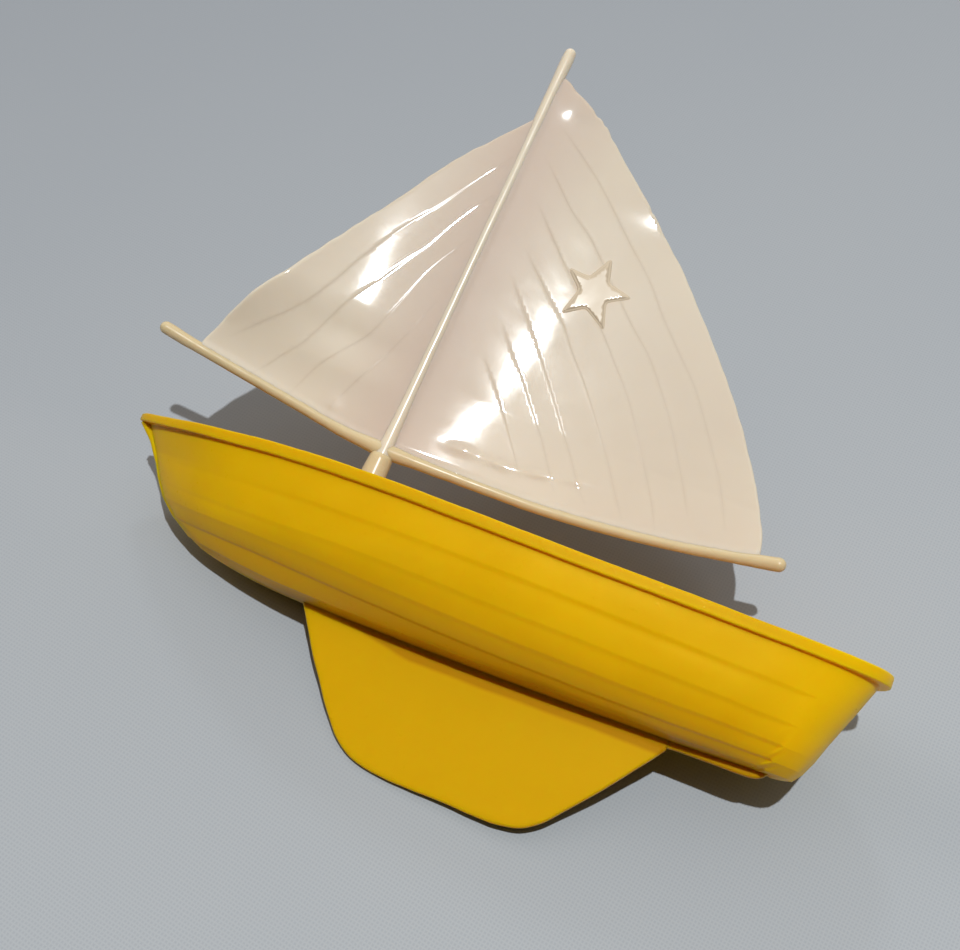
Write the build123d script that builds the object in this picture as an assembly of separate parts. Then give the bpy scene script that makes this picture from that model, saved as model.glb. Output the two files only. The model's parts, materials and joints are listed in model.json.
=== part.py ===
# Small push-together toy sailboat: one clinker-planked hull moulding and one rig
# moulding whose mast foot plugs into a step in the hull.
# Millimetres. +X bow, +Y port, +Z up. The origin is on the centre plane, midway
# between bow and stern, level with the bottom of the fin keel.
from build123d import *
from math import cos, radians, sin
import os

# ------------------------------------------------------------ hull dimensions
GUNWALE_Z = 32.2        # height of the rim tips over the bottom of the fin
WALL = 1.3              # hull wall
RIM_OVERHANG = 0.75     # flange stands proud of the planking
RIM_DEPTH = 1.5         # flange edge, top to bottom
RIM_BOW_X = 20          # the flange edge thins forward of here,
RIM_BOW_RUN = 30        # over this length,
RIM_BOW_THINNING = 0.5  # by this much at the tip
LAP = 0.30              # each plank laps over the one below by this step
LAP_FADE_X = -41.5      # the laps fade aft of here
LAP_END_X = 0.06        # a lap's ends on the centre plane stand out by this
LAP_END_DROP = 0.03     # and hang down by this
FIN_T = 1.4             # fin keel thickness
STRIP_T = 1.4           # keel strip thickness
STRIP_Z = -16.75        # underside of the keel strip, from the rim tips' level
STRIP_AFT = -39.6
STRIP_CORNER_R = 0.5
KEEL_ROOT_Z = -15.3     # top of fin and strip inside the hull, from the rim tips' level
STEM_T = 1.3            # stem band thickness
STEM_DEPTH_TOP, STEM_DEPTH_LOW = 1.7, 0.8    # stem band's reach aft, top and bottom
STEM_RISE_TOP, STEM_RISE_LOW = 0.35, 0.9     # lift of its back edge, top and bottom

# ------------------------------------------------------------ rig dimensions
MAST_X = 17.35          # mast axis where it meets the boom
MAST_Z = GUNWALE_Z + 4.7
MAST_RAKE = 2.6         # degrees aft
MAST_LEN = 62.2         # above the boom junction
MAST_D_LOW = 1.9
MAST_D_TOP = 1.6
FLARE_LEN = 1.8         # taper from the collar into the mast
BOOM_D = 1.5
SHEET_T = 0.8           # sail sheet thickness
COLLAR_D_TOP = 3.4
COLLAR_D_LOW = 3.9
COLLAR_DROP = 6.4       # boom junction down to the collar shoulder
COLLAR_TOP = 0.2        # collar end above the boom junction
PEG_D = 2.8
PEG_LEN = 8.0
PEG_CHAMFER = 0.4
PEG_CLEAR = 0.06        # radial running clearance of the peg in its socket
PEG_END_CLEAR = 0.6     # socket depth beyond the peg
STEP_D = 6.4            # outside of the mast step
STEP_LEN = 13.6
STAR_R = 5.0
STAR_R_IN = 2.15
STAR_T = 0.35

# ------------------------------------------------------------ hull lines, port side
# x, y, z from the bow to the middle of the stern; z from the rim tips' level.
# RIM is the flange's top outer edge and SIDE the top of the planking. LAP1 to LAP5
# are the tops of planks two to six, each tucked under the plank above.
RIM = [
    (50, 0, 0), (48.9, 1.25, -.06), (47, 2.8, -.18), (44, 4.9, -.27), (40, 7.3, -.3),
    (36, 9.3, -.3), (32, 10.8, -.27), (26, 12.4, -.15), (20, 13.25, -.08), (14, 13.55, -.1),
    (8, 13.6, -.2), (2, 13.45, -.33), (-6, 13.1, -.5), (-14, 12.55, -.63), (-22, 11.8, -.7),
    (-30, 10.7, -.73), (-36, 9.6, -.7), (-41, 8.35, -.6), (-45, 6.65, -.45), (-48, 4.4, -.3),
    (-49.5, 2.2, -.2), (-50, 0, -.15)]
SIDE = [
    (48.5, 0, -1.15), (46.4, 2.1, -1.25), (43.3, 4.3, -1.4), (39.6, 6.5, -1.5),
    (35.7, 8.5, -1.6), (31.8, 10.05, -1.65), (26, 11.65, -1.65), (20, 12.5, -1.65),
    (14, 12.8, -1.68), (8, 12.85, -1.75), (2, 12.7, -1.85), (-6, 12.35, -2.0),
    (-14, 11.8, -2.15), (-22, 11.05, -2.22), (-30, 9.95, -2.25), (-36, 8.85, -2.22),
    (-40.8, 7.6, -2.15), (-44.4, 5.95, -2.0), (-47.1, 3.85, -1.85), (-48.4, 1.9, -1.75),
    (-48.8, 0, -1.7)]
LAP1 = [
    (46.3, 0, -4.3), (44.5, 1.5, -4.5), (41, 3.9, -4.85), (36.8, 6.5, -5.15), (32, 8.8, -5.3),
    (28.3, 10.1, -5.37), (21.1, 11.7, -5.43), (14.4, 12.3, -5.45), (7.9, 12.45, -5.5),
    (-1.3, 12.2, -5.62), (-10, 11.75, -5.8), (-21.1, 10.8, -6.05), (-32, 9.25, -6.25),
    (-38, 8.05, -6.3), (-42.8, 6.4, -6.35), (-45.2, 4.5, -6.35), (-46.5, 2.3, -6.35),
    (-46.9, 0, -6.35)]
LAP2 = [
    (44.5, 0, -7.15), (42.4, 1.7, -7.5), (39, 4.1, -8.0), (35.4, 6.15, -8.4), (31, 8.05, -8.7),
    (26.9, 9.45, -8.88), (19.7, 10.95, -9.0), (13.1, 11.4, -9.07), (6.6, 11.5, -9.17),
    (-1.3, 11.3, -9.4), (-12, 10.8, -9.65), (-23.9, 9.75, -9.88), (-33, 8.35, -10.0),
    (-38, 7.3, -10.03), (-41.9, 6.1, -10.05), (-43.9, 4.3, -10.05), (-45.0, 2.2, -10.05),
    (-45.3, 0, -10.05)]
LAP3 = [
    (42.7, 0, -9.4), (40.6, 1.7, -9.7), (36.5, 4.4, -10.25), (32.4, 6.4, -10.6),
    (28, 7.9, -10.85), (24, 8.8, -11.03), (17, 9.65, -11.35), (10.3, 9.95, -11.7),
    (-1.1, 9.85, -12.2), (-12, 9.4, -12.5), (-21, 8.75, -12.62), (-31, 7.5, -12.58),
    (-37, 6.5, -12.5), (-41.5, 5.3, -12.44), (-43.2, 3.7, -12.42), (-44.0, 1.9, -12.4),
    (-44.3, 0, -12.4)]
LAP4 = [
    (40.3, 0, -11.3), (38.4, 1.45, -11.5), (34, 3.8, -12.0), (29.1, 5.55, -12.4),
    (25, 6.5, -12.68), (21.4, 7.05, -12.93), (14.6, 7.6, -13.38), (7.7, 7.75, -13.78),
    (-.6, 7.66, -14.15), (-11, 7.3, -14.4), (-20.8, 6.75, -14.46), (-31, 5.8, -14.38),
    (-37, 5.05, -14.27), (-41.1, 4.15, -14.15), (-42.6, 2.9, -14.1), (-43.2, 1.5, -14.1),
    (-43.4, 0, -14.1)]
LAP5 = [
    (37.1, 0, -13.05), (35.2, 1.0, -13.35), (32, 2.15, -13.85), (28.5, 3.1, -14.35),
    (24, 3.85, -14.8), (19, 4.35, -15.1), (10, 4.6, -15.4), (0, 4.65, -15.6),
    (-13, 4.35, -15.65), (-26.2, 3.85, -15.55), (-34, 3.35, -15.4), (-40, 2.75, -15.2),
    (-41.8, 1.9, -15.1), (-42.4, 1.0, -15.05), (-42.6, 0, -15.05)]
KEEL = [
    (37.1, 0, -13.05), (34.6, 0, -14.05), (31, 0, -14.85), (27, 0, -15.45), (22, 0, -15.85),
    (15, 0, -16.05), (7, 0, -16.15), (0, 0, -16.2), (-13, 0, -16.2), (-26, 0, -16.1),
    (-34, 0, -15.95), (-39.5, 0, -15.65), (-41.6, 0, -15.4), (-42.6, 0, -15.05)]

# line, shares of LAP by which the lower edge of the plank above stands out and up
LAP_STEPS = [(LAP1, .99, .02), (LAP2, .96, -.15), (LAP3, .85, -.45), (LAP4, .60, -.75),
             (LAP5, .35, -.92)]
# inner face: line, shift of its bow end, change of half-breadth, lift
INNER_KEEL_BOW = -2.4
INNER_STEPS = [(LAP5, INNER_KEEL_BOW, -0.45, 1.22), (LAP4, -2.6, -0.80, 1.05),
               (LAP3, -2.8, -1.10, 0.70), (LAP2, -2.8, -1.25, 0.30),
               (LAP1, -2.8, -1.30, 0.10), (SIDE, -2.8, -1.30, 0.0)]
INNER_RIM_BOW = -4.3
INNER_RIM_STERN = WALL + 1.2

# x, z in the centre plane; z from the rim tips' level
STEM = [(49.3, -1.0), (47.6, -2.8), (46.2, -5.0), (44.6, -7.5), (42.9, -9.6), (41.0, -11.25),
        (38.3, -12.8), (35.2, -13.95), (31.6, -14.95), (27.6, -15.65)]
FIN = [(19.6, -15.4), (18.9, -16.6), (16.5, -20.2), (13.3, -24.6), (10.9, -27.6), (9.1, -29.6),
       (6.9, -31.0), (4.2, -31.8), (1.2, -32.05), (-6, -32.12), (-12.2, -32.2), (-15.3, -31.6),
       (-17.6, -30.2), (-20.0, -27.6), (-23.0, -24.0), (-26.1, -20.1), (-28.3, -17.2)]
FIN_AFT = FIN[-1][0]

# ------------------------------------------------------------ rig outlines
# distance ahead of the mast axis, height up the mast from the boom junction
JIB_SPAR = [(0, 1), (6, 1.3), (12, 2.05), (18, 2.75), (24, 3.45), (28.5, 3.95), (32.15, 4.4)]
BOOM = [(0, 1), (-5.94, 1.34), (-12.88, 1.7), (-20.83, 2.11), (-29.81, 3.01), (-37.82, 4.11),
        (-44.86, 5.32), (-51.3, 6.55)]
LUFF = [(27.4, 3.9), (26.85, 5.57), (26.07, 7.49), (24.72, 10.29), (22.84, 13.54),
        (20.77, 16.98), (18.77, 20.68), (16.7, 24.5), (15, 27.73), (12.35, 32.29),
        (10.17, 36.66), (7.52, 41.17), (5.24, 44.38), (2.86, 47.41), (0, 51.2)]
LEECH = [(0, 57.6), (-1.6, 57.22), (-2.89, 56.43), (-4.58, 55.65), (-6.57, 54.67),
         (-8.75, 53.29), (-10.54, 51.61), (-13.03, 49.44), (-15.52, 47.37), (-18.4, 45),
         (-21.48, 42.06), (-24.26, 39.62), (-27.74, 36.1), (-30.82, 32.77), (-34.11, 29.14),
         (-37.6, 24.93), (-40.2, 21.48), (-42.6, 17.91), (-44.62, 14.73), (-46.23, 11.72),
         (-47.67, 8.41), (-48.19, 5.93)]
CLEW = (-47.6, 5.2)         # lower aft corner of the mainsail
MAIN_FOOT_AFT = -46         # the mainsail's foot follows the boom up to here
JIB_FOOT_FORE = 27          # the jib's foot follows its spar up to here
STAR_AT = (-15.75, 31.44)

# fore-and-aft extent of the curved sheets the sails are cut from, and their levels
MAIN_SHEET = (0.4, -54.0)
JIB_SHEET = (-0.4, 36.0)
SHEET_LEVELS = [-2, 10, 22, 34, 46, 58, 64]
SHEET_STEPS = 6
CUTTER_REACH = 20           # each way from the centre plane

# height, slope of the mainsail at the mast
DRAFT = [(0, .235), (5, .2455), (12, .26), (20, .255), (25, .2496), (35, .238), (44, .226),
         (60, .22)]

FROM_BASE = (Align.CENTER, Align.CENTER, Align.MIN)
FROM_TOP = (Align.CENTER, Align.CENTER, Align.MAX)
RIG_AT = Pos(MAST_X, 0, MAST_Z) * Rot(0, -MAST_RAKE, 0)


# ------------------------------------------------------------ shared helpers
def solid_of(shape):
    """The largest solid of a shape."""
    return shape.solids().sort_by(SortBy.VOLUME)[-1]


def plate(edges, half_thickness):
    """A closed outline in the centre plane, thickened to both sides."""
    return extrude(Face(Wire(edges)), half_thickness, dir=(0, 1, 0), both=True)


def ribbon(first, second):
    """Closed edges round two smooth rows of points."""
    return [Spline(*first).edge(), Line(first[-1], second[-1]).edge(),
            Spline(*reversed(second)).edge(), Line(second[0], first[0]).edge()]


def from_rim(x, y, z):
    return Vector(x, y, z + GUNWALE_Z)


# ------------------------------------------------------------ hull
def between(a, b, c, d, t):
    """Point at t on the centripetal Catmull-Rom curve from b to c, with neighbours a and d."""
    def knot(p, q):
        return max((q - p).length, 1e-6) ** 0.5

    def blend(p, q, start, end):
        return p * ((end - u) / (end - start)) + q * ((u - start) / (end - start))

    t0, t1 = 0.0, knot(a, b)
    t2 = t1 + knot(b, c)
    t3 = t2 + knot(c, d)
    u = t1 + (t2 - t1) * t
    a1 = blend(a, b, t0, t1)
    a2 = blend(b, c, t1, t2)
    a3 = blend(c, d, t2, t3)
    return blend(blend(a1, a2, t0, t2), blend(a2, a3, t1, t3), t1, t2)


def centre_curve(line):
    return Spline(*[from_rim(*point) for point in line]).edge()


def side_curve(line):
    """A hull line from the bow to the stern, which it rounds square to the centre plane."""
    points = [from_rim(*point) for point in line]
    last = points[-2]
    # one more point past each end steers the curve there
    full = [points[0] * 2 - points[1]] + points + [Vector(last.X, -last.Y, last.Z)]
    dense = []
    for a, b, c, d in zip(full, full[1:], full[2:], full[3:]):
        dense += [b, between(a, b, c, d, 0.5)]
    dense.append(points[-1])
    return Spline(*dense).edge()


def moved(line, bow, stern, widen, lift):
    """The same line with its bow and stern ends shifted in x, and widened and lifted."""
    x_bow, x_stern = line[0][0], line[-1][0]
    stretch = ((x_bow + bow) - (x_stern + stern)) / (x_bow - x_stern)
    y_max = max(y for x, y, z in line) or 1.0      # the keel line has no breadth
    return [((x_stern + stern) + (x - x_stern) * stretch, y * (y_max + widen) / y_max, z + lift)
            for x, y, z in line]


def plank_edge(line, out, rise):
    """Lower edge of the plank that laps over this line."""
    last = len(line) - 1
    edge = []
    for i, (x, y, z) in enumerate(line):
        if i in (0, last):
            end_x = LAP_END_X if i == 0 else -LAP_END_X
            edge.append((x + end_x, 0.0, z - LAP_END_DROP))
            continue
        # the lap fades out where the planks run into the stem and the smooth stern
        if i == 1:
            step = LAP * 0.5
        elif x > LAP_FADE_X:
            step = LAP
        else:
            step = LAP * 0.3
        edge.append((x, y + step * out, z + step * rise))
    return edge


def rim_underside():
    """Lower outer edge of the flange."""
    line = []
    for x, y, z in RIM:
        rise = RIM_BOW_THINNING * (max(x - RIM_BOW_X, 0) / RIM_BOW_RUN) ** 2
        line.append((x, y, z - RIM_DEPTH + rise))
    return line


def band(edges):
    return [Face.make_surface_from_curves(a, b) for a, b in zip(edges, edges[1:])]


def outer_edges():
    """Top to bottom: flange, then six planks with a lap under each of the first five."""
    edges = [side_curve(RIM), side_curve(rim_underside()), side_curve(SIDE)]
    for line, out, rise in LAP_STEPS:
        edges += [side_curve(plank_edge(line, out, rise)), side_curve(line)]
    return edges + [centre_curve(KEEL)]


def inner_edges():
    """Bottom to top, smooth."""
    lines = [moved(line, bow, WALL, widen, lift) for line, bow, widen, lift in INNER_STEPS]
    lines.append(moved(RIM, INNER_RIM_BOW, INNER_RIM_STERN, -WALL - RIM_OVERHANG, 0.0))
    low = lines[0]
    keel = [low[0]] + moved(KEEL, INNER_KEEL_BOW, WALL, 0, WALL)[1:-1] + [low[-1]]
    return [centre_curve(keel)] + [side_curve(line) for line in lines]


def stem_band():
    """Band down the bow, on the centre plane."""
    front = [from_rim(x, 0, z) for x, z in STEM]
    back = []
    for i, (x, z) in enumerate(STEM):
        share = i / (len(STEM) - 1)
        depth = STEM_DEPTH_TOP + (STEM_DEPTH_LOW - STEM_DEPTH_TOP) * share
        rise = STEM_RISE_TOP + (STEM_RISE_LOW - STEM_RISE_TOP) * share
        back.append(from_rim(x - depth, 0, z + rise))
    return plate(ribbon(front, back), STEM_T / 2)


def hull_shell():
    outside = outer_edges()
    faces = band(outside) + band(inner_edges() + [outside[0]])
    faces += [face.mirror(Plane.XZ) for face in faces]
    hull = Solid(Shell(Face.sew_faces(faces)[0]))
    # sewing may leave the shell facing inwards
    if hull.volume < 0:
        hull = Solid(hull.wrapped.Reversed())
    return solid_of(hull + stem_band())


def fin_keel(hull):
    points = [from_rim(x, 0, z) for x, z in FIN]
    root = from_rim(FIN_AFT, 0, KEEL_ROOT_Z)
    edges = [Spline(*points).edge(), Line(points[-1], root).edge(), Line(root, points[0]).edge()]
    return solid_of(plate(edges, FIN_T / 2) - hull)


def keel_strip(hull):
    """Straight strip aft of the fin, its lower aft corner rounded."""
    centre = Pos((FIN_AFT + STRIP_AFT) / 2, 0, GUNWALE_Z + (STRIP_Z + KEEL_ROOT_Z) / 2)
    strip = centre * Box(FIN_AFT - STRIP_AFT, STRIP_T, KEEL_ROOT_Z - STRIP_Z)
    low_edges = strip.edges().filter_by(Axis.Y).sort_by(Axis.Z)[:2]
    strip = fillet(low_edges.sort_by(Axis.X)[:1], STRIP_CORNER_R)
    return solid_of(strip - hull)


def mast_step(hull):
    """Raked post in the hull, bored for the peg."""
    shoulder = RIG_AT * Pos(0, 0, -COLLAR_DROP)
    post = shoulder * Cylinder(STEP_D / 2, STEP_LEN, align=FROM_TOP)
    bore = shoulder * Cylinder(PEG_D / 2 + PEG_CLEAR, PEG_LEN + PEG_END_CLEAR, align=FROM_TOP)
    return solid_of(post - bore - hull)


# ------------------------------------------------------------ rig, in the mast's own frame
def belly(ahead, height):
    """Athwartships place of the sails: the mainsail falls away to starboard, the jib to port."""
    if ahead >= 0:
        rise = min(max((height - 4) / 14, 0.0), 1.0)
        rise = rise * rise * (3 - 2 * rise)
        return (0.08 + 0.145 * rise) * ahead + (0.003 - 0.00075 * rise) * ahead * ahead
    aft = -ahead
    bend = max(0.0085 - 0.000118 * max(height, 0.0), 0.0012)
    height = min(max(height, 0.0), DRAFT[-1][0])
    (low, slope_low), (high, slope_high) = [
        pair for pair in zip(DRAFT, DRAFT[1:]) if pair[0][0] <= height][-1]
    slope = slope_low + (slope_high - slope_low) * (height - low) / (high - low)
    return -(slope * aft - 0.5 * bend * aft * aft)


def rod(path):
    """Round spar along the sail's foot, with a ball end."""
    points = [Vector(ahead, belly(ahead, height), height) for ahead, height in path]
    spine = Spline(*points).edge()
    profile = Plane(origin=points[0], z_dir=spine.tangent_at(0)) * Circle(BOOM_D / 2)
    return sweep(profile, path=spine) + Pos(*points[-1]) * Sphere(BOOM_D / 2)


def sheet(extent, side_a, side_b):
    """Curved sheet between two offsets to port of the sail's middle surface."""
    start, end = extent
    stations = [start + (end - start) * i / SHEET_STEPS for i in range(SHEET_STEPS + 1)]
    sections = []
    for height in SHEET_LEVELS:
        rows = [[Vector(ahead, belly(ahead, height) + side, height) for ahead in stations]
                for side in (side_a, side_b)]
        sections.append(Wire(ribbon(*rows)))
    return Solid.make_loft(sections)


def flat(points):
    return [Vector(ahead, 0, height) for ahead, height in points]


def mast_foot():
    """Tapered collar on a round peg."""
    shoulder = Pos(0, 0, -COLLAR_DROP)
    collar = shoulder * Cone(COLLAR_D_LOW / 2, COLLAR_D_TOP / 2, COLLAR_DROP + COLLAR_TOP,
                             align=FROM_BASE)
    peg = shoulder * Cylinder(PEG_D / 2, PEG_LEN, align=FROM_TOP)
    peg = chamfer(peg.edges().sort_by(Axis.Z)[0], PEG_CHAMFER)
    return solid_of(collar + peg)


def mast_pole():
    tip_z = MAST_LEN - MAST_D_TOP / 2
    base = Pos(0, 0, COLLAR_TOP)
    flare = base * Cone(COLLAR_D_TOP / 2, MAST_D_LOW / 2, FLARE_LEN, align=FROM_BASE)
    pole = base * Cone(MAST_D_LOW / 2, MAST_D_TOP / 2, tip_z - COLLAR_TOP, align=FROM_BASE)
    tip = Pos(0, 0, tip_z) * Sphere(MAST_D_TOP / 2)
    return solid_of(flare + pole + tip)


def cut_sail(extent, edges, mast, spar):
    """Sail cut from its sheet by a flat outline, clear of the mast and its spar."""
    sail = sheet(extent, -SHEET_T / 2, SHEET_T / 2) & plate(edges, CUTTER_REACH)
    return solid_of(solid_of(sail) - mast - spar)


def mainsail(mast, boom):
    leech = flat(LEECH)
    foot = flat(BOOM)
    clew = Vector(CLEW[0], 0, CLEW[1])
    foot_edge = [clew] + [point for point in reversed(foot) if point.X > MAIN_FOOT_AFT]
    edges = [Spline(*leech).edge(), Line(leech[-1], clew).edge(),
             Spline(*foot_edge).edge(), Line(foot[0], leech[0]).edge()]
    return cut_sail(MAIN_SHEET, edges, mast, boom)


def jib(mast, spar):
    luff = flat(LUFF)
    foot = flat(JIB_SPAR)
    foot_edge = [point for point in foot if point.X < JIB_FOOT_FORE] + [luff[0]]
    edges = [Spline(*luff).edge(), Line(luff[-1], foot[0]).edge(), Spline(*foot_edge).edge()]
    return cut_sail(JIB_SHEET, edges, mast, spar)


def star_emblem():
    """Raised five-pointed star on the port face of the mainsail."""
    points = []
    for i in range(10):
        radius = STAR_R if i % 2 == 0 else STAR_R_IN
        angle = radians(90 + 36 * i)
        points.append(Vector(STAR_AT[0] + radius * cos(angle), 0,
                             STAR_AT[1] + radius * sin(angle)))
    edges = [Line(a, b).edge() for a, b in zip(points, points[1:] + points[:1])]
    skin = sheet(MAIN_SHEET, SHEET_T / 2, SHEET_T / 2 + STAR_T)
    return solid_of(skin & plate(edges, CUTTER_REACH))


def build():
    hull = hull_shell()
    mast = mast_pole()
    boom = solid_of(rod(BOOM) - mast)
    spar = solid_of(rod(JIB_SPAR) - mast)
    parts = {"fin_keel": fin_keel(hull), "keel_strip": keel_strip(hull),
             "mast_step": mast_step(hull), "hull_shell": hull}
    rig = {"mast_foot": mast_foot(), "mast": mast, "boom": boom, "jib_spar": spar,
           "mainsail": mainsail(mast, boom), "jib": jib(mast, spar),
           "star_emblem": star_emblem()}
    for name, shape in rig.items():
        parts[name] = RIG_AT * shape
    return parts


if __name__ == "__main__":
    os.makedirs("parts", exist_ok=True)
    for name, shape in build().items():
        shape.label = name
        export_step(shape, "parts/" + name + ".step")
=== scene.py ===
# A toy sailing boat, lying on its starboard side on a pale cloth: a planked yellow hull with a
# fin keel, and a cream rig of mast, boom, jib spar and two sails that swivels in the hull.
# The bow points to +x, port to +y and the mast to +z. The rim of the hull is at RIM_Z and the
# lower edge of the fin at z = 0. Shapes are worked out in mm and stored in metres.
import json
import math

import bmesh
import bpy
import numpy as np
from mathutils import Matrix, Vector, geometry, noise


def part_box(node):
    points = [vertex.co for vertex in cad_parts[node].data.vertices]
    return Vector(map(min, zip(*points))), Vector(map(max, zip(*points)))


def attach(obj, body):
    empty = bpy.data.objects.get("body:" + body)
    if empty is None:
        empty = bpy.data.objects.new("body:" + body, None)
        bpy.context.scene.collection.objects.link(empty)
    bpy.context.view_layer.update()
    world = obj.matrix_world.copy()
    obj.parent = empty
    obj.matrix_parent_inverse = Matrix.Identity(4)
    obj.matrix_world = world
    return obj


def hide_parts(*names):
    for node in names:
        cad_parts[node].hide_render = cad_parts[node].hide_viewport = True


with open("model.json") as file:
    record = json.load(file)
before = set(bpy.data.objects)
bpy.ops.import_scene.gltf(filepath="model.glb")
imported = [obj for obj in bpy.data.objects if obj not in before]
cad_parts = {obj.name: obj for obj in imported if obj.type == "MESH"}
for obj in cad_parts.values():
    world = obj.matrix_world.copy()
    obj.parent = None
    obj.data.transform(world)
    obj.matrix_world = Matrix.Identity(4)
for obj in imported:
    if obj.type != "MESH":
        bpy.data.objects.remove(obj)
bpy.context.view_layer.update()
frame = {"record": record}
MM = 0.001


def box_mm(name):
    """Low and high corner of a frame piece, in mm."""
    return [np.array(corner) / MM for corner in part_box(name)]


RIM_Z = box_mm("hull_shell")[1][2]
STEP_LOW, STEP_HIGH = box_mm("mast_step")
FIN_LOW, FIN_HIGH = box_mm("fin_keel")
MAST_TOP_Z = box_mm("mast")[1][2]
SWIVEL = [j for j in frame["record"]["behaviour"]["joints"] if j["name"] == "rig_swivel"][0]
PIVOT = np.array(SWIVEL["pos_m"]) / MM
AXIS = np.array(SWIVEL["axis"], float)
AXIS /= np.linalg.norm(AXIS)
FORE = np.array([AXIS[2], 0.0, -AXIS[0]])       # across the mast, towards the bow
PORT = np.array([0.0, 1.0, 0.0])
MIRROR = (1, -1, 1)                             # port to starboard


# ---------------------------------------------------------------- curves and outlines
def ease(x):
    """Smooth step from 0 to 1, held at both ends."""
    x = np.clip(x, 0.0, 1.0)
    return x * x * (3 - 2 * x)


def bend(start, corner, end, share):
    """Point on the quadratic curve from start to end that turns at corner."""
    return (1 - share) ** 2 * start + 2 * share * (1 - share) * corner + share * share * end


def wobble(*coords):
    """Noise at each point of the given coordinate arrays."""
    return np.array([noise.noise(Vector(point)) for point in np.broadcast(*coords)])


def spline(points, steps=10, after=None):
    """Centripetal curve through the rows of points, in steps a span."""
    points = np.asarray(points, float)
    if after is None:
        after = 2 * points[-1] - points[-2]
    knots = np.vstack([2 * points[0] - points[1], points, after])
    share = (np.arange(steps) / steps)[:, None]
    spans = []
    for i in range(len(knots) - 3):
        four = knots[i:i + 4]
        times = [0.0]
        for here, ahead in zip(four, four[1:]):
            times.append(times[-1] + max(np.linalg.norm(ahead - here), 1e-6) ** 0.5)
        now = times[1] + (times[2] - times[1]) * share

        def between(first, second, start, end):
            span = times[end] - times[start]
            return first * (times[end] - now) / span + second * (now - times[start]) / span

        line = [between(four[k], four[k + 1], k, k + 1) for k in range(3)]
        arc = [between(line[k], line[k + 1], k, k + 2) for k in range(2)]
        spans.append(between(arc[0], arc[1], 1, 2))
    return np.vstack(spans + [points[-1:]])


def resample(line, shares):
    """Points at the given shares of the length of a polyline."""
    run = np.concatenate([[0], np.cumsum(np.linalg.norm(np.diff(line, axis=0), axis=1))])
    run /= run[-1]
    return np.stack([np.interp(shares, run, line[:, k]) for k in range(line.shape[1])], 1)


def evenly(line, count):
    return resample(np.asarray(line, float), np.linspace(0, 1, count))


def curve(points, count, steps=10):
    return evenly(spline(points, steps), count)


def tangents(line):
    step = np.gradient(line, axis=0)
    return step / np.linalg.norm(step, axis=1)[:, None]


def left_normals(line):
    """Unit normals on the left of a 2-D line."""
    ahead = tangents(line)
    return np.stack([-ahead[:, 1], ahead[:, 0]], 1)


def line_length(line):
    return np.linalg.norm(np.diff(line, axis=0), axis=1).sum()


def end_fade(count, reach):
    """0 at both ends of a row of points, 1 from reach points in."""
    index = np.arange(count)
    return ease(np.minimum(index, count - 1 - index) / reach)


def inside(points, outline):
    x, y = points.T
    result = np.zeros(len(points), bool)
    for start, end in zip(outline, np.roll(outline, -1, axis=0)):
        if start[1] == end[1]:
            continue
        cross_x = (end[0] - start[0]) * (y - start[1]) / (end[1] - start[1]) + start[0]
        result ^= ((start[1] > y) != (end[1] > y)) & (x < cross_x)
    return result


def nearest(points, line, closed=False):
    """Distance, side (+1 left, -1 right) and length along a polyline, for each point."""
    starts = np.asarray(line, float)
    ends = np.roll(starts, -1, axis=0) if closed else starts[1:]
    starts = starts if closed else starts[:-1]
    best = np.full(len(points), 1e9)
    side = np.zeros(len(points))
    along = np.zeros(len(points))
    lengths = np.linalg.norm(ends - starts, axis=1)
    before = np.concatenate([[0], np.cumsum(lengths)])
    for k in range(len(starts)):
        edge = ends[k] - starts[k]
        length = max(lengths[k], 1e-9)
        offset = points - starts[k]
        share = np.clip((offset @ edge) / length ** 2, 0, 1)
        gap = offset - share[:, None] * edge
        distance = np.hypot(gap[:, 0], gap[:, 1])
        hit = distance < best
        best[hit] = distance[hit]
        side[hit] = np.sign(edge[0] * offset[hit, 1] - edge[1] * offset[hit, 0])
        along[hit] = before[k] + share[hit] * length
    return best, side, along


def inset(outline, depth):
    """A closed anticlockwise outline moved inwards by depth."""
    edge = np.roll(outline, -1, axis=0) - outline
    normal = np.stack([-edge[:, 1], edge[:, 0]], 1)
    normal /= np.maximum(np.linalg.norm(normal, axis=1), 1e-9)[:, None]
    mitre = normal + np.roll(normal, 1, axis=0)
    mitre /= np.maximum(np.linalg.norm(mitre, axis=1), 1e-9)[:, None]
    slant = np.maximum((mitre * normal).sum(1), 0.5)
    return outline + mitre * (depth / slant)[:, None]


def anticlockwise(outline):
    x, y = outline.T
    area = 0.5 * np.sum(x * np.roll(y, -1) - np.roll(x, -1) * y)
    return outline if area > 0 else outline[::-1]


# ---------------------------------------------------------------- mesh helpers
def build(name, shape, material, body, replaces=None, merge=0.0004):
    """A smooth piece from (verts in mm, faces), wound outwards, points within merge mm joined."""
    verts, faces = shape
    mesh = bpy.data.meshes.new(name)
    mesh.from_pydata((verts * MM).tolist(), [], [list(map(int, face)) for face in faces])
    work = bmesh.new()
    work.from_mesh(mesh)
    bmesh.ops.remove_doubles(work, verts=work.verts, dist=merge * MM)
    bmesh.ops.dissolve_degenerate(work, dist=merge * MM, edges=work.edges)
    loose = [vert for vert in work.verts if not vert.link_faces]
    bmesh.ops.delete(work, geom=loose, context="VERTS")
    bmesh.ops.recalc_face_normals(work, faces=work.faces)
    work.to_mesh(mesh)
    work.free()
    mesh.update()
    mesh.polygons.foreach_set("use_smooth", [True] * len(mesh.polygons))
    piece = bpy.data.objects.new(name, mesh)
    bpy.context.scene.collection.objects.link(piece)
    mesh.materials.append(material)
    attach(piece, body)
    if replaces:
        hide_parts(replaces)
    return piece


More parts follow.
